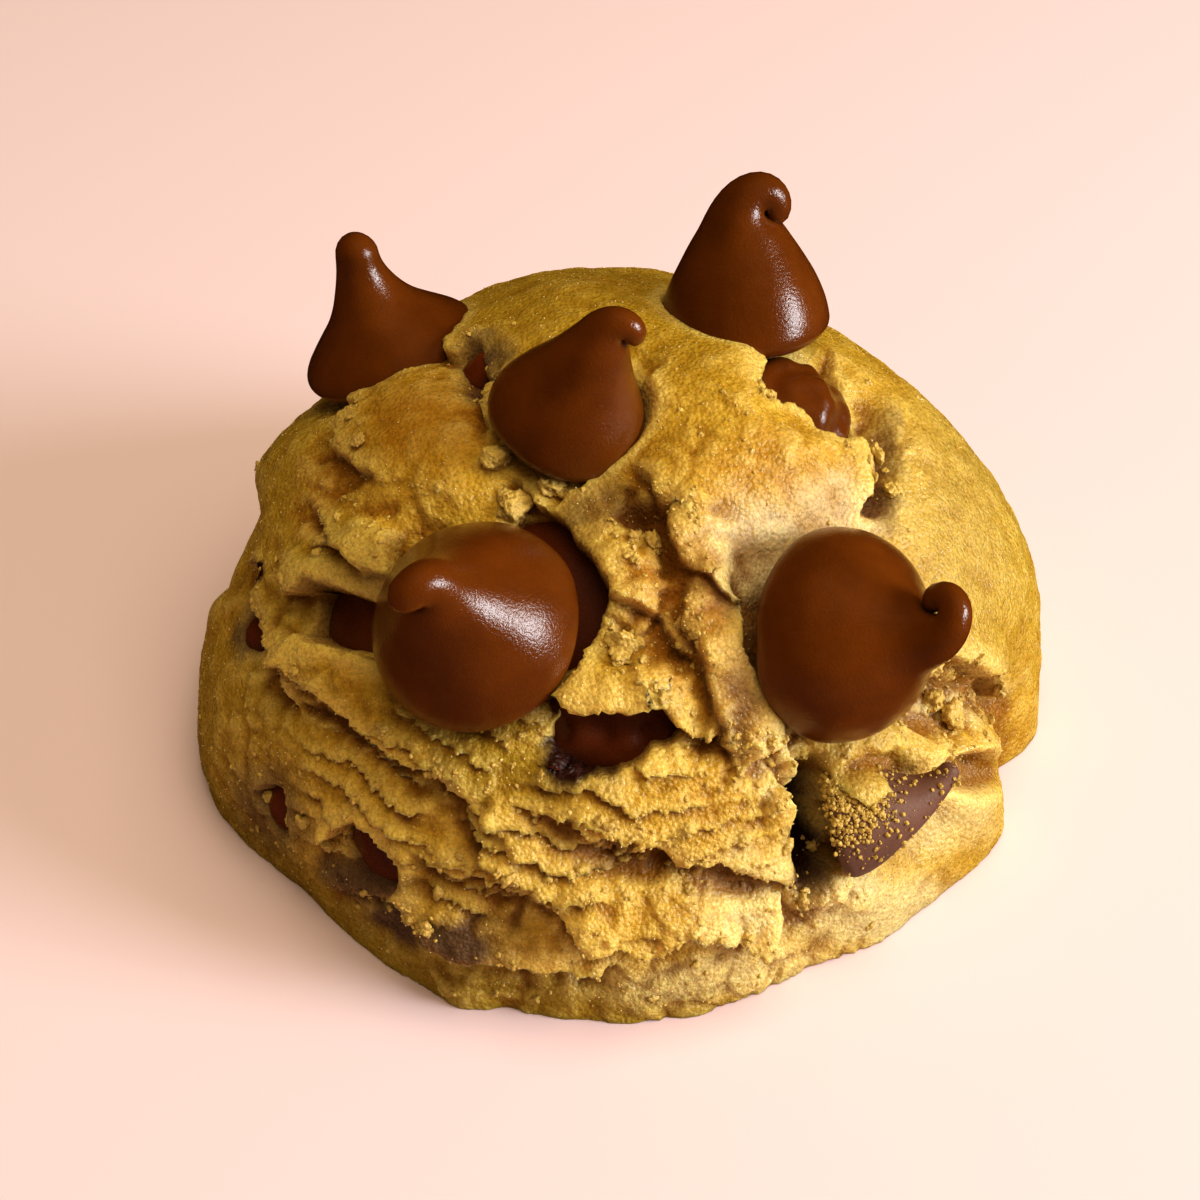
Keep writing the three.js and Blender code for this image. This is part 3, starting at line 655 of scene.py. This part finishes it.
# %% Add the crumb
# Clumps with sharp cracks between them, drawn out along the shingles; flat
# plates between torn grooves; packed grains at uneven levels; and fine sand.
CLUMPS = {"span": 1.7, "height": 0.45, "octaves": 4, "fall": 0.42, "step": 2.1}
SHINGLE_STRETCH, LAYER_CALM = 1.7, 0.5
PLATES = {"size": 2.3, "height": 0.45, "groove": 0.25, "groove_width": 0.22}
GRAIN = {"size": 0.38, "height": 0.11, "middle": 0.7, "stagger": 0.14, "groove_width": 0.5}
SAND = {"span": 0.5, "height": 0.07, "least": 0.3}
shingled = np.stack([across / SHINGLE_STRETCH, above - smile, outwards / SHINGLE_STRETCH], 1)
clumps = np.array([noise.turbulence(place, CLUMPS["octaves"], True, amplitude_scale=CLUMPS["fall"],
                                    frequency_scale=CLUMPS["step"])
                   for place in (shingled / CLUMPS["span"]).tolist()])
top, level = grains(ball, GRAIN["size"], 1, GRAIN["groove_width"])
wandering = np.stack([ragged_x, ragged_y, outwards], 1)
plate_top, plate_level = grains(wandering, PLATES["size"], 2, PLATES["groove_width"])
crumb = CLUMPS["height"] * (clumps - np.median(clumps))
crumb += PLATES["height"] * (plate_level - 0.5) * plate_top - PLATES["groove"] * (1 - plate_top)
crumb *= 1 - LAYER_CALM * layer_share
crumb += GRAIN["height"] * (top - GRAIN["middle"]) + GRAIN["stagger"] * (level - 0.5) * top
crumb *= crumbly
crumb += SAND["height"] * lumps(ball, SAND["span"], 11) * (SAND["least"] + crumbly)
print("crumb from", round(crumb.min(), 2), "to", round(crumb.max(), 2), "mm")

# %% Dent the foot, move the corners
# Broad lumps: height, span, seed and octaves.
BROAD_LUMPS = ((0.5, 9, 12, 1), (0.12, 2.4, 13, 2))
# Overhangs begin between these heights, so the foot stays where it is.
HANG_FROM = (0.0, 2.0)
round_degrees = np.degrees(np.arctan2(heading[:, 0], -heading[:, 1]))
foot = np.zeros(corner_count)
for middle, depth, half in FOOT_DENTS:
    foot -= depth * falloff(round_degrees - middle, half)
foot *= falloff(ball[:, 2], FOOT_FADE)
height = MOUND_RADIUS + on_face * relief + foot + summed_lumps(ball, BROAD_LUMPS) + crumb
settled = smoothstep(ball[:, 2], *HANG_FROM) * on_face
dough = heading * height[:, None]
dough += (settled * hang_x)[:, None] * np.array(FACE_RIGHT)
dough += (settled * hang_y)[:, None] * np.array(FACE_UP)
print("dough reaches", np.round(dough.max(axis=0), 1), "mm")

# %% [markdown]
# A chip sits in a bowl pressed into the dough. Inside its widest ring the
# dough is set down below the chip's flat foot, so the two only meet round
# the rim, as the real ones do. A sunken chip shows only through its ragged
# opening, and the one lying on its side is simply bedded in.

# %% Press a bowl under each chip
# The gap under a chip's foot in mm, the shares of its radius between which
# the bowl's wall stands, and half the width of an opening's edge.
SEAT_DEPTH = 0.25
BOWL_RIM, BOWL_FLOOR = 0.96, 0.8
OPENING_EDGE = 0.2
for name, chip in ALL_CHIPS.items():
    if name == "chip_lower_right":
        continue
    off_axis, up = from_chip(dough, chip)
    floor_level = outline_of(chip)[0][0] * chip["length"] - SEAT_DEPTH
    under = smoothstep(off_axis, BOWL_RIM * chip["radius"], BOWL_FLOOR * chip["radius"])
    under *= up > floor_level
    if "opening" in chip:
        line, reach = chip["opening"]
        gap = near_line(line, ragged_x, ragged_y)[0]
        under *= smoothstep(gap, reach + OPENING_EDGE, reach - OPENING_EDGE)
    axis = np.array(direction(*chip["lean"]))
    dough -= (under * (up - floor_level))[:, None] * axis
print("bowls pressed:", len(ALL_CHIPS) - 1)

# %% [markdown]
# Hollows are painted darker caramel brown, as painted shade, and crests are
# painted paler. Both are found from the mesh itself: a corner is compared
# with the average of the corners round it, near and further off.

# %% Find the hollows and crests
edges = read_values(dough_mesh.edges, "vertices", 2, np.int64)
neighbours = np.bincount(edges.ravel(), minlength=corner_count)


def eased(values, rounds):
    """Each value averaged with its neighbours', that many times over."""
    for _ in range(rounds):
        total = np.bincount(edges[:, 0], values[edges[:, 1]], corner_count)
        total += np.bincount(edges[:, 1], values[edges[:, 0]], corner_count)
        values = total / neighbours
    return values


# How many corners round are averaged, and the mm that make a full crest, a
# full hollow and a full broad hollow. Hollows stay plain behind the face.
NEAR_ROUNDS, FAR_ROUNDS = 10, 90
FULL_CREST, FULL_HOLLOW, FULL_BROAD = 0.1, 0.16, 0.8
HOLLOW_EDGE = (-6, 6)
reach = np.linalg.norm(dough, axis=1)
near_level, far_level = eased(reach, NEAR_ROUNDS), eased(reach, FAR_ROUNDS)
crest = eased(np.clip((reach - near_level) / FULL_CREST, 0, 1), 1)
# The hollow mark is painted shade: the deeper a corner lies, the darker it is painted.
hollow_shade = np.clip((near_level - reach) / FULL_HOLLOW, 0, 1) + np.clip((far_level - reach) / FULL_BROAD, 0, 1)
hollow_shade = eased(hollow_shade, 1) * smoothstep(outwards, *HOLLOW_EDGE)
print("crest on average", round(float(crest.mean()), 2), "and hollow", round(float(hollow_shade.mean()), 2))

# %% [markdown]
# Other colours belong to a place: chocolate smeared where a chip was dragged,
# caramel, partly where brown sugar melted and partly painted shade in cracks
# and painted shadow on the crag and finger beside the right chip, olive,
# partly where the dough is dense and moist and partly painted shade on the
# left flank, a pale colour that is partly painted light on the lit right
# side, a pale cream painted sheen by the right chip, and near-black painted
# shade in the deep cavity and a nick, with a dark smear below the middle
# opening. Each is a list of ovals on the face.

# %% Stains
# Ovals: place, half widths, strength.
STAINS = {
    # The dark mark: near-black painted shade in the deep cavity, beside it and in the nick at the upper left,
    # and a dark smear below the middle opening.
    "dark_shade_and_smear": (((10.4, -7.6), (1.5, 3.2), 1.0), ((-2.0, -3.6), (1.7, 1.3), 0.8), ((-20.8, 6.3), (0.6, 1.0), 0.9),
             ((10.2, -4.6), (0.9, 0.5), 0.8)),
    "cocoa": (((-9.9, -12.7), (4.6, 1.5), 1.0), ((-13.8, -10.4), (3.4, 1.6), 0.8),
              ((-19.6, -7.0), (2.4, 3.0), 0.6), ((14.2, 10.9), (1.0, 2.6), 0.6), ((-0.6, 9.6), (2.4, 1.4), 0.5),
              ((-7.8, 18.0), (1.6, 1.8), 0.8), ((10.6, -8.6), (1.6, 3.4), 0.8), ((5.9, -1.2), (0.5, 2.6), 0.4),
              ((14.6, 13.2), (1.0, 3.0), 0.5), ((-21.3, 3.2), (1.5, 1.6), 0.7)),
    # The caramel mark: partly the dough's own caramel brown, partly painted shade in cracks and painted shadow
    # on the crag and finger beside the right chip.
    "caramel_and_shade": (((1.1, -8.5), (2.4, 1.1), 1.0), ((1.6, 9.0), (1.4, 1.0), 1.0), ((2.0, 6.9), (0.6, 1.6), 0.9),
                ((6.5, -9.9), (1.6, 0.7), 0.6), ((10.6, -11.3), (1.2, 1.4), 0.9),
                ((-10.4, 14.6), (3.6, 2.6), 0.5), ((7.0, 11.0), (4.0, 2.4), 0.35),
                ((-16.4, 10.8), (1.4, 3.0), 0.5), ((3.0, 1.4), (1.4, 2.4), 0.6),
                ((2.6, 4.6), (2.6, 3.6), 0.95), ((6.2, 0.4), (1.3, 3.6), 0.6)),
    # The olive mark: the dough's own tint on the crown and foot, and painted shade on the left flank, the side
    # away from the key light.
    "olive_and_shade": (((2, 22), (15, 6), 0.45), ((-15.0, 7.0), (3.4, 1.8), 0.9), ((-6.0, -4.2), (5.0, 1.8), 0.8),
              ((-18, 13), (5, 7), 0.5), ((-12.6, -13.2), (5.0, 2.0), 0.7), ((-22.5, -2.5), (2.2, 7), 0.4),
              ((20, 9), (5, 10), 0.6), ((-19.0, 2.0), (4.0, 6.0), 0.6)),
    # The pale mark: partly paler dough, partly painted light on the key-lit right side, the lower right and the
    # broken pit.
    "pale_and_lit": (((17, 9), (5.6, 8), 0.15), ((6.0, 1.6), (1.1, 4.6), 0.2), ((8.2, -3.6), (1.8, 2.4), 0.7),
             ((6.6, -10.8), (2.8, 3.0), 0.7), ((14.4, -12.6), (6.6, 2.4), 0.8), ((6, -15.4), (7, 1.6), 0.6),
             ((18.6, -6.4), (3.6, 3.2), 0.6), ((7.6, 7.4), (2.0, 2.2), 0.6), ((18.8, -0.7), (3.6, 1.5), 0.9)),
    # The glaze mark: a pale cream painted sheen round the upper left of the right chip.
    "painted_sheen": (((7.4, 6.6), (3.8, 3.2), 1.0), ((6.2, 3.4), (0.9, 3.2), 0.6), ((11.8, 9.8), (3.4, 1.6), 0.7)),
}
STAIN_WANDER, STAIN_SPAN = 0.8, 2.0
# The foot is olive up to between these heights, and left of these places.
FOOT_OLIVE, FOOT_OLIVE_TOP, FOOT_OLIVE_RIGHT = 0.8, (4.5, 1.5), (9, 3)
soft_x = across + STAIN_WANDER * lumps(ball, STAIN_SPAN, 14, 3)
soft_y = above + STAIN_WANDER * lumps(ball, STAIN_SPAN, 15, 3)
marks = {"crest": crest, "hollow_shade": hollow_shade, "crumbly": crumbly}
for kind, patches in STAINS.items():
    marks[kind] = np.zeros(corner_count)
    for at, half, strength in patches:
        marks[kind] = np.maximum(marks[kind], strength * oval(soft_x, soft_y, at, half))
    marks[kind] *= on_face
foot_olive = FOOT_OLIVE * smoothstep(ball[:, 2], *FOOT_OLIVE_TOP) * smoothstep(across, *FOOT_OLIVE_RIGHT)
marks["olive_and_shade"] = np.maximum(marks["olive_and_shade"], foot_olive)
print("stains:", {kind: round(float(marks[kind].mean()), 3) for kind in STAINS})

# %% [markdown]
# The ball was left a millimetre too deep. Cutting it level only now, after
# everything has moved, gives the foot its ragged line on the table.

# %% Cut the mound level and close it
dough_mesh.vertices.foreach_set("co", dough.ravel())
for kind, values in marks.items():
    dough_mesh.attributes.new(kind, "FLOAT", "POINT").data.foreach_set("value", values.astype(np.float32))
bm = bmesh.new()
bm.from_mesh(dough_mesh)
bmesh.ops.bisect_plane(bm, geom=bm.verts[:] + bm.edges[:] + bm.faces[:], plane_co=(0, 0, 0),
                       plane_no=(0, 0, -1), clear_outer=True)
rim = [e for e in bm.edges if e.is_boundary]
underside = bmesh.ops.holes_fill(bm, edges=rim, sides=0)["faces"]
underside = bmesh.ops.triangulate(bm, faces=underside)["faces"]
bmesh.ops.recalc_face_normals(bm, faces=bm.faces)
bm.faces.index_update()
underside_faces = [f.index for f in underside]
bpy.data.meshes.remove(dough_mesh)
dough_piece = finished_piece(bm, "dough_piece", "dough")
for index in underside_faces:
    dough_piece.data.polygons[index].use_smooth = False
print("dough triangles:", sum(len(p.vertices) - 2 for p in dough_piece.data.polygons))

# %% [markdown]
# ## Loose crumbs
# Torn dough sheds flakes and grains that stick to its edges. Each is a small
# broken ball. They are gathered in one piece for each kind: flakes, fine
# grains, pale sugar crystals that never dissolved, and the crumbs that dust
# the chip lying on its side.

# %% Kinds of crumb
# How many, the ball's levels, radius in mm, flatness, how far it is knocked
# out of true, how deep it sits and how far it strays. The last two weigh torn
# places and plain ones.
CRUMB_KINDS = {
    "crumb_flakes": dict(count=240, levels=3, size=(0.14, 0.36), flat=0.6, rough=0.9, sunk=0.4, aside=0.0,
                         torn=1.0, plain=0.0),
    "crumb_grains": dict(count=800, levels=2, size=(0.09, 0.18), flat=0.7, rough=0.6, sunk=0.5, aside=0.0,
                         torn=1.0, plain=0.0),
    "sugar_grains": dict(count=3600, levels=1, size=(0.03, 0.055), flat=0.9, rough=0.15, sunk=0.1, aside=0.0,
                         torn=0.3, plain=0.3),
}
# Crumbs that cover the upper left of the chip lying on its side.
CHIP_DUST = dict(count=1200, levels=2, size=(0.03, 0.16), flat=0.8, rough=0.6, sunk=0.35, aside=0.25)
DUST_AT, DUST_REACH, DUST_EVERYWHERE = (12.3, -5.7), 1.5, 0.01
# Single crumbs that stand out: place on the face, longest half and flatness.
MARKED_CRUMBS = (
    ((-5.9, 9.5), 0.85, 0.6), ((-5.3, 9.9), 0.5, 0.8), ((-6.6, 12.2), 0.75, 0.7), ((-6.1, 12.8), 0.4, 0.8),
    ((-3.6, 10.6), 0.8, 0.4), ((-2.4, 10.4), 0.7, 0.5), ((-15.8, 7.9), 0.65, 0.5), ((-14.3, 13.4), 0.4, 0.7),
    ((1.6, 7.5), 0.6, 0.5), ((0.0, 2.4), 0.7, 0.4), ((0.1, 1.6), 0.6, 0.4), ((-19.4, -5.9), 0.4, 0.7),
    ((-17.1, -7.3), 0.45, 0.6), ((-15.7, -8.5), 0.35, 0.7), ((-9.9, -12.5), 0.35, 0.6),
    ((13.5, 12.9), 0.5, 0.7), ((14.8, 11.0), 0.45, 0.7), ((16.6, 1.6), 0.7, 0.7), ((17.2, -0.4), 0.6, 0.8),
    ((18.2, -1.3), 0.75, 0.7), ((21.6, 0.4), 0.5, 0.8), ((11.4, -6.2), 0.5, 0.6),
)
print("marked crumbs:", len(MARKED_CRUMBS))

# %% Make a crumb
THINNEST, CRUMB_LUMPS = 0.45, 0.9
CRUMB_OCTAVES = (0.7, 2.0, 4)


def broken_ball(levels, flat, rough, seed):
    """A crumb 1 mm in radius: a small ball, flattened and knocked out of true."""
    bm = bmesh.new()
    bmesh.ops.create_icosphere(bm, subdivisions=levels, radius=1.0)
    for v in bm.verts:
        lump = noise.fractal(v.co * CRUMB_LUMPS + Vector((seed * SEED_STEP, 0, 0)), *CRUMB_OCTAVES)
        v.co *= max(THINNEST, 1 + rough * lump)
        v.co.z *= flat
    return mesh_from(bm, "crumb")


def crumb_frame(spot, normal, turn, size):
    lie = normal.to_track_quat("Z", "Y").to_matrix().to_4x4()
    return Matrix.Translation(spot) @ lie @ Matrix.Rotation(turn, 4, "Z") @ Matrix.Scale(size, 4)


def corner_places(piece):
    """The corners of a piece in millimetres, and which way each one faces."""
    corners = piece.data.vertices
    return read_values(corners, "co", 3) / MM, read_values(corners, "normal", 3)


# %% Scatter crumbs of one kind
CRUMB_SHAPES = 10
CRUMB_SINK, CRUMB_TILT = 0.3, 0.35
random = np.random.default_rng(7)


def scatter(kind, spots, normals, weight):
    """A bmesh of crumbs at places drawn by weight. Most are near the least size."""
    chosen = random.choice(len(spots), kind["count"], p=weight / weight.sum())
    shapes = [broken_ball(kind["levels"], kind["flat"], kind["rough"], i) for i in range(CRUMB_SHAPES)]
    bm = bmesh.new()
    for i, corner in enumerate(chosen):
        low, high = kind["size"]
        size = low + (high - low) * random.random() ** 2
        normal = Vector(normals[corner])
        spot = Vector(spots[corner]) + normal * size * (kind["flat"] - kind["sunk"] - CRUMB_SINK)
        aside = Vector(random.normal(0, kind["aside"], 3))
        spot += aside - aside.dot(normal) * normal
        tilt = normal + Vector(random.normal(0, CRUMB_TILT, 3))
        place = crumb_frame(spot, tilt, random.random() * 2 * math.pi, size)
        shape = shapes[i % len(shapes)]
        shape.transform(place)
        bm.from_mesh(shape)
        shape.transform(place.inverted())
    return bm


print("shapes for each kind of crumb:", CRUMB_SHAPES)

# %% Where crumbs can lie on the dough
UNDER_CHIP, LOWEST_CRUMB = -2, 0.8
spots, normals = corner_places(dough_piece)
read = {kind: read_values(dough_piece.data.attributes[kind].data, "value", 1, np.float32)[:, 0]
        for kind in ("crumbly", "crest")}
free = (spots[:, 2] > LOWEST_CRUMB).astype(float)
for chip in ALL_CHIPS.values():
    off_axis, up = from_chip(spots, chip)
    free[(off_axis < chip["radius"]) & (up > UNDER_CHIP)] = 0
print("free for crumbs:", round(float(free.mean()), 2))

# %% Scatter the crumbs over the dough
CREST_LEAST = 0.3
MARKED = dict(levels=4, rough=0.6, lift=0.6, first_seed=20, turn=1.9)
BEHIND = 99


def add_marked_crumbs(bm):
    face_places = np.stack([spots @ np.array(axis) for axis in (FACE_RIGHT, FACE_UP)], 1)
    behind = BEHIND * ~(spots @ np.array(FACE_OUT) > 0)
    for i, (at, half, flat) in enumerate(MARKED_CRUMBS):
        corner = int(np.argmin(np.linalg.norm(face_places - at, axis=1) + behind))
        shape = broken_ball(MARKED["levels"], flat, MARKED["rough"], MARKED["first_seed"] + i)
        lifted = Vector(spots[corner]) + Vector(normals[corner]) * half * flat * MARKED["lift"]
        shape.transform(crumb_frame(lifted, Vector(normals[corner]), i * MARKED["turn"], half))
        bm.from_mesh(shape)


crumb_pieces = {}
for name, kind in CRUMB_KINDS.items():
    weight = (kind["torn"] * read["crumbly"] ** 2 * (CREST_LEAST + read["crest"]) + kind["plain"]) * free
    bm = scatter(kind, spots, normals, weight)
    if name == "crumb_flakes":
        add_marked_crumbs(bm)
    crumb_pieces[name] = finished_piece(bm, name, None)
    print(name, "triangles:", len(crumb_pieces[name].data.polygons))

# %% Dust the chip that lies on its side
dusty_spots, dusty_normals = corner_places(chips["chip_lower_right"])
dusty_right, dusty_above = (dusty_spots @ np.array(axis) for axis in (FACE_RIGHT, FACE_UP))
dust_away = ((dusty_right - DUST_AT[0]) / DUST_REACH) ** 2 + ((dusty_above - DUST_AT[1]) / DUST_REACH) ** 2
dusted = (np.exp(-dust_away) + DUST_EVERYWHERE) * (dusty_normals @ np.array(FACE_OUT) > 0)
bm = scatter(CHIP_DUST, dusty_spots, dusty_normals, dusted)
crumb_pieces["chip_dust"] = finished_piece(bm, "chip_dust", None)
print("chip_dust triangles:", len(crumb_pieces["chip_dust"].data.polygons))

# %% [markdown]
# ## Dough material
# Butter cookie dough, hardly browned: fine flour and brown sugar held by
# butter. The eye sees a sandy grain, a moist sheen that breaks into glints,
# light that soaks a little way in, caramel brown in the cracks, painted there
# as shade, and pale yellow on the edges. The stains and levels found above
# steer the colours; several of them are painted light, shade or sheen.

# %% Butter dough
# Each mark's colour, the most of it, and the mark that gives the most.
# The hollow tint is painted shade and the glaze tint a painted sheen; the caramel, olive and dark tints are
# partly painted shade, the pale one partly painted light.
DOUGH_TINTS = (
    ("crumbly", "#ddb03e", 0.5, 1.0), ("olive_and_shade", "#a0861e", 0.75, 1.0), ("pale_and_lit", "#eadba6", 0.8, 1.0),
    ("painted_sheen", "#f2deb4", 0.8, 1.0), ("caramel_and_shade", "#ac6816", 0.8, 1.0), ("hollow_shade", "#925a12", 0.8, 0.9),
    ("crest", "#ecd184", 0.45, 1.0), ("cocoa", "#5f4235", 0.9, 0.8), ("dark_shade_and_smear", "#35160c", 1.0, 0.6),
)
MOTTLE_MM, SAND_MM, BUMP_MM, SOAK_MM = 4.0, 0.24, 0.1, 1.6


def dough_material(name, paler):
    material, tree, shader = new_material(name, {
        "IOR": 1.5, "Subsurface Weight": 0.0 if paler else 0.45, "Subsurface Radius": (1.0, 0.68, 0.3),
        "Subsurface Scale": SOAK_MM * MM})
    place = add_node(tree, "ShaderNodeTexCoord", {}, {}).outputs["Object"]
    mottle = texture(tree, "ShaderNodeTexNoise", place, MOTTLE_MM, {"Detail": 5.0, "Roughness": 0.62})["Fac"]
    sand = texture(tree, "ShaderNodeTexNoise", place, SAND_MM, {"Detail": 3.0, "Roughness": 0.75})["Fac"]
    sugar = texture(tree, "ShaderNodeTexVoronoi", place, SAND_MM, {"Randomness": 1.0})["Distance"]
    colour = mixed(tree, spread(tree, mottle, 0.35, 0.65), screen_colour("#b6891d"), screen_colour("#cda63a"))
    for kind, code, most, full_at in () if paler else DOUGH_TINTS:
        level = add_node(tree, "ShaderNodeAttribute", {"attribute_name": kind}, {}).outputs["Fac"]
        share = spread(tree, level, 0.0, full_at, 0.0, most)
        colour = mixed(tree, share, colour, screen_colour(code))
    colour = mixed(tree, 1.0, colour, spread(tree, sand, 0.3, 0.7, 0.76, 1.22), "MULTIPLY")
    if paler:
        colour = mixed(tree, 0.25, colour, screen_colour("#f0dca0"))
    relief = add_node(tree, "ShaderNodeMath", {"operation": "SUBTRACT"}, {0: sand, 1: sugar}).outputs["Value"]
    tree.links.new(colour, shader.inputs["Base Color"])
    tree.links.new(spread(tree, sand, 0.35, 0.65, 0.14, 0.5), shader.inputs["Roughness"])
    tree.links.new(bumped(tree, 0.9, BUMP_MM, relief), shader.inputs["Normal"])
    return material


dough_piece.data.materials.append(dough_material("butter_dough", False))
dry_crumb = dough_material("dry_crumb", True)
for name in ("crumb_flakes", "crumb_grains", "chip_dust"):
    crumb_pieces[name].data.materials.append(dry_crumb)
print("dough nodes:", len(dough_piece.data.materials[0].node_tree.nodes))

# %% [markdown]
# ## Chocolate material
# Milk chocolate, cast and cooled in air: cocoa butter at the surface gives a
# soft gloss over warm brown. Close up the skin is finely pitted, so its
# highlight breaks into sparkles. Chips that the dough touched are darker and
# greasy, and the one lying on its side is dusty with bloom and flour.

# %% Milk chocolate
CHOCOLATES = {
    "milk_chocolate": dict(deep="#4f2404", warm="#783f0b", roughness=0.17, pits=0.9),
    "buried_chocolate": dict(deep="#4e1c06", warm="#74340e", roughness=0.26, pits=0.6),
    "bloomed_chocolate": dict(deep="#5f3a29", warm="#8a6350", roughness=0.55, pits=0.8),
}
# The skin is this much smoother to rougher than a chocolate's own roughness.
SMOOTHER, ROUGHER = 0.04, 0.09
CLOUD_MM, PIT_MM, PIT_DEPTH_MM, CHOCOLATE_SOAK_MM = 2.8, 0.16, 0.03, 0.8


def chocolate_material(name, deep, warm, roughness, pits):
    material, tree, shader = new_material(name, {
        "IOR": 1.44, "Subsurface Weight": 0.06, "Subsurface Radius": (1.0, 0.35, 0.12),
        "Subsurface Scale": CHOCOLATE_SOAK_MM * MM})
    place = add_node(tree, "ShaderNodeTexCoord", {}, {}).outputs["Object"]
    cloud = texture(tree, "ShaderNodeTexNoise", place, CLOUD_MM, {"Detail": 4.0, "Roughness": 0.6})["Fac"]
    pitting = texture(tree, "ShaderNodeTexNoise", place, PIT_MM, {"Detail": 2.0, "Roughness": 0.7})["Fac"]
    colour = mixed(tree, cloud, screen_colour(deep), screen_colour(warm))
    skin = spread(tree, pitting, 0.35, 0.65, roughness - SMOOTHER, roughness + ROUGHER)
    tree.links.new(colour, shader.inputs["Base Color"])
    tree.links.new(skin, shader.inputs["Roughness"])
    tree.links.new(bumped(tree, pits, PIT_DEPTH_MM, pitting), shader.inputs["Normal"])
    return material


def chocolate_of(name):
    if name == "chip_lower_right":
        return "bloomed_chocolate"
    if name in STANDING_CHIPS or name == "chip_sunk_upper_right":
        return "milk_chocolate"
    return "buried_chocolate"


chocolates = {name: chocolate_material(name, **look) for name, look in CHOCOLATES.items()}
for name, piece in chips.items():
    piece.data.materials.append(chocolates[chocolate_of(name)])
print("chocolates:", ", ".join(chocolates))

# %% [markdown]
# ## Sugar
# Brown sugar that never dissolved is hard, clear and a little amber. Each
# crystal is too small to see through, so a smooth pale skin is enough: what
# the eye sees is one bright glint.

# %% Sugar crystals
sugar_crystal = new_material("sugar_crystal", {
    "Base Color": screen_colour("#f2dba6"), "Roughness": 0.12, "IOR": 1.54})[0]
crumb_pieces["sugar_grains"].data.materials.append(sugar_crystal)
print("sugar grains:", CRUMB_KINDS["sugar_grains"]["count"])

# %% [markdown]
# ## Floor, light and camera
# One strong soft light from the right, low enough to rake across the crumb,
# with a broad weak one overhead and a warm even fill. Only the strong one
# shows as a highlight, so the chips stay deep. The camera looks 43 degrees
# down at the face, from 130 mm away, a little off the mound's middle.

# %% Floor
FLOOR_HALF, FLOOR_BELOW = 1.5, 0.05
bm = bmesh.new()
bmesh.ops.create_grid(bm, x_segments=1, y_segments=1, size=FLOOR_HALF)
bmesh.ops.translate(bm, vec=(0, 0, -FLOOR_BELOW * MM), verts=bm.verts)
floor = add_object("floor", mesh_from(bm, "floor"))
paper = new_material("blush_paper", {"Base Color": screen_colour("#f3dbe6"), "Roughness": 0.8})[0]
floor.data.materials.append(paper)
floor.visible_glossy = False
print("floor is", 2 * FLOOR_HALF, "m wide")

# %% Lights
# Which way each lamp stands, how far off, how wide, its power and its colour.
FILL_COLOUR, FILL_STRENGTH = "#ffe0a4", 0.19
LAMPS = {
    "key": (Vector((0.9, -0.26, 0.35)), 0.55, 0.24, 3.1, "#f2faff"),
    "top": (Vector((0.2, -0.15, 1.0)), 0.6, 0.6, 2.6, "#fff3d0"),
}
for name, (stand, away, width, power, tint) in LAMPS.items():
    light = bpy.data.lights.new(name, "AREA")
    light.shape = "DISK"
    light.size = width
    light.energy = power
    light.color = screen_colour(tint)[:3]
    lamp = add_object(name, light)
    lamp.location = stand.normalized() * away
    lamp.rotation_euler = stand.to_track_quat("Z", "Y").to_euler()
    lamp.visible_glossy = name == "key"
world = bpy.data.worlds.new("studio")
world.use_nodes = True
world.node_tree.nodes["Background"].inputs["Color"].default_value = screen_colour(FILL_COLOUR)
world.node_tree.nodes["Background"].inputs["Strength"].default_value = FILL_STRENGTH
bpy.context.scene.world = world
world.cycles_visibility.glossy = False
studio = bpy.context.scene.view_settings
studio.view_transform = "Standard"
studio.exposure = 0.25
studio.gamma = 0.82
print("lamps:", ", ".join(LAMPS))

# %% Camera
# The focal length is in pixels of the frame, and the point aimed at in mm.
FRAME_PIXELS, FOCAL_PIXELS, SENSOR = 1200, 2063, 36.0
CAMERA_AWAY = 5 * MOUND_RADIUS
AIM = Vector((-1.310, 3.860, 4.139))
camera = bpy.data.cameras.new("camera")
camera.sensor_width = SENSOR
camera.lens = SENSOR * FOCAL_PIXELS / FRAME_PIXELS
camera.clip_start = 0.01
camera_stand = add_object("camera", camera)
eye = CAMERA_AWAY * FACE_OUT
camera_stand.location = eye * MM
camera_stand.rotation_euler = (eye - AIM).to_track_quat("Z", "Y").to_euler()
bpy.context.scene.camera = camera_stand
print("lens", round(camera.lens, 1), "mm")
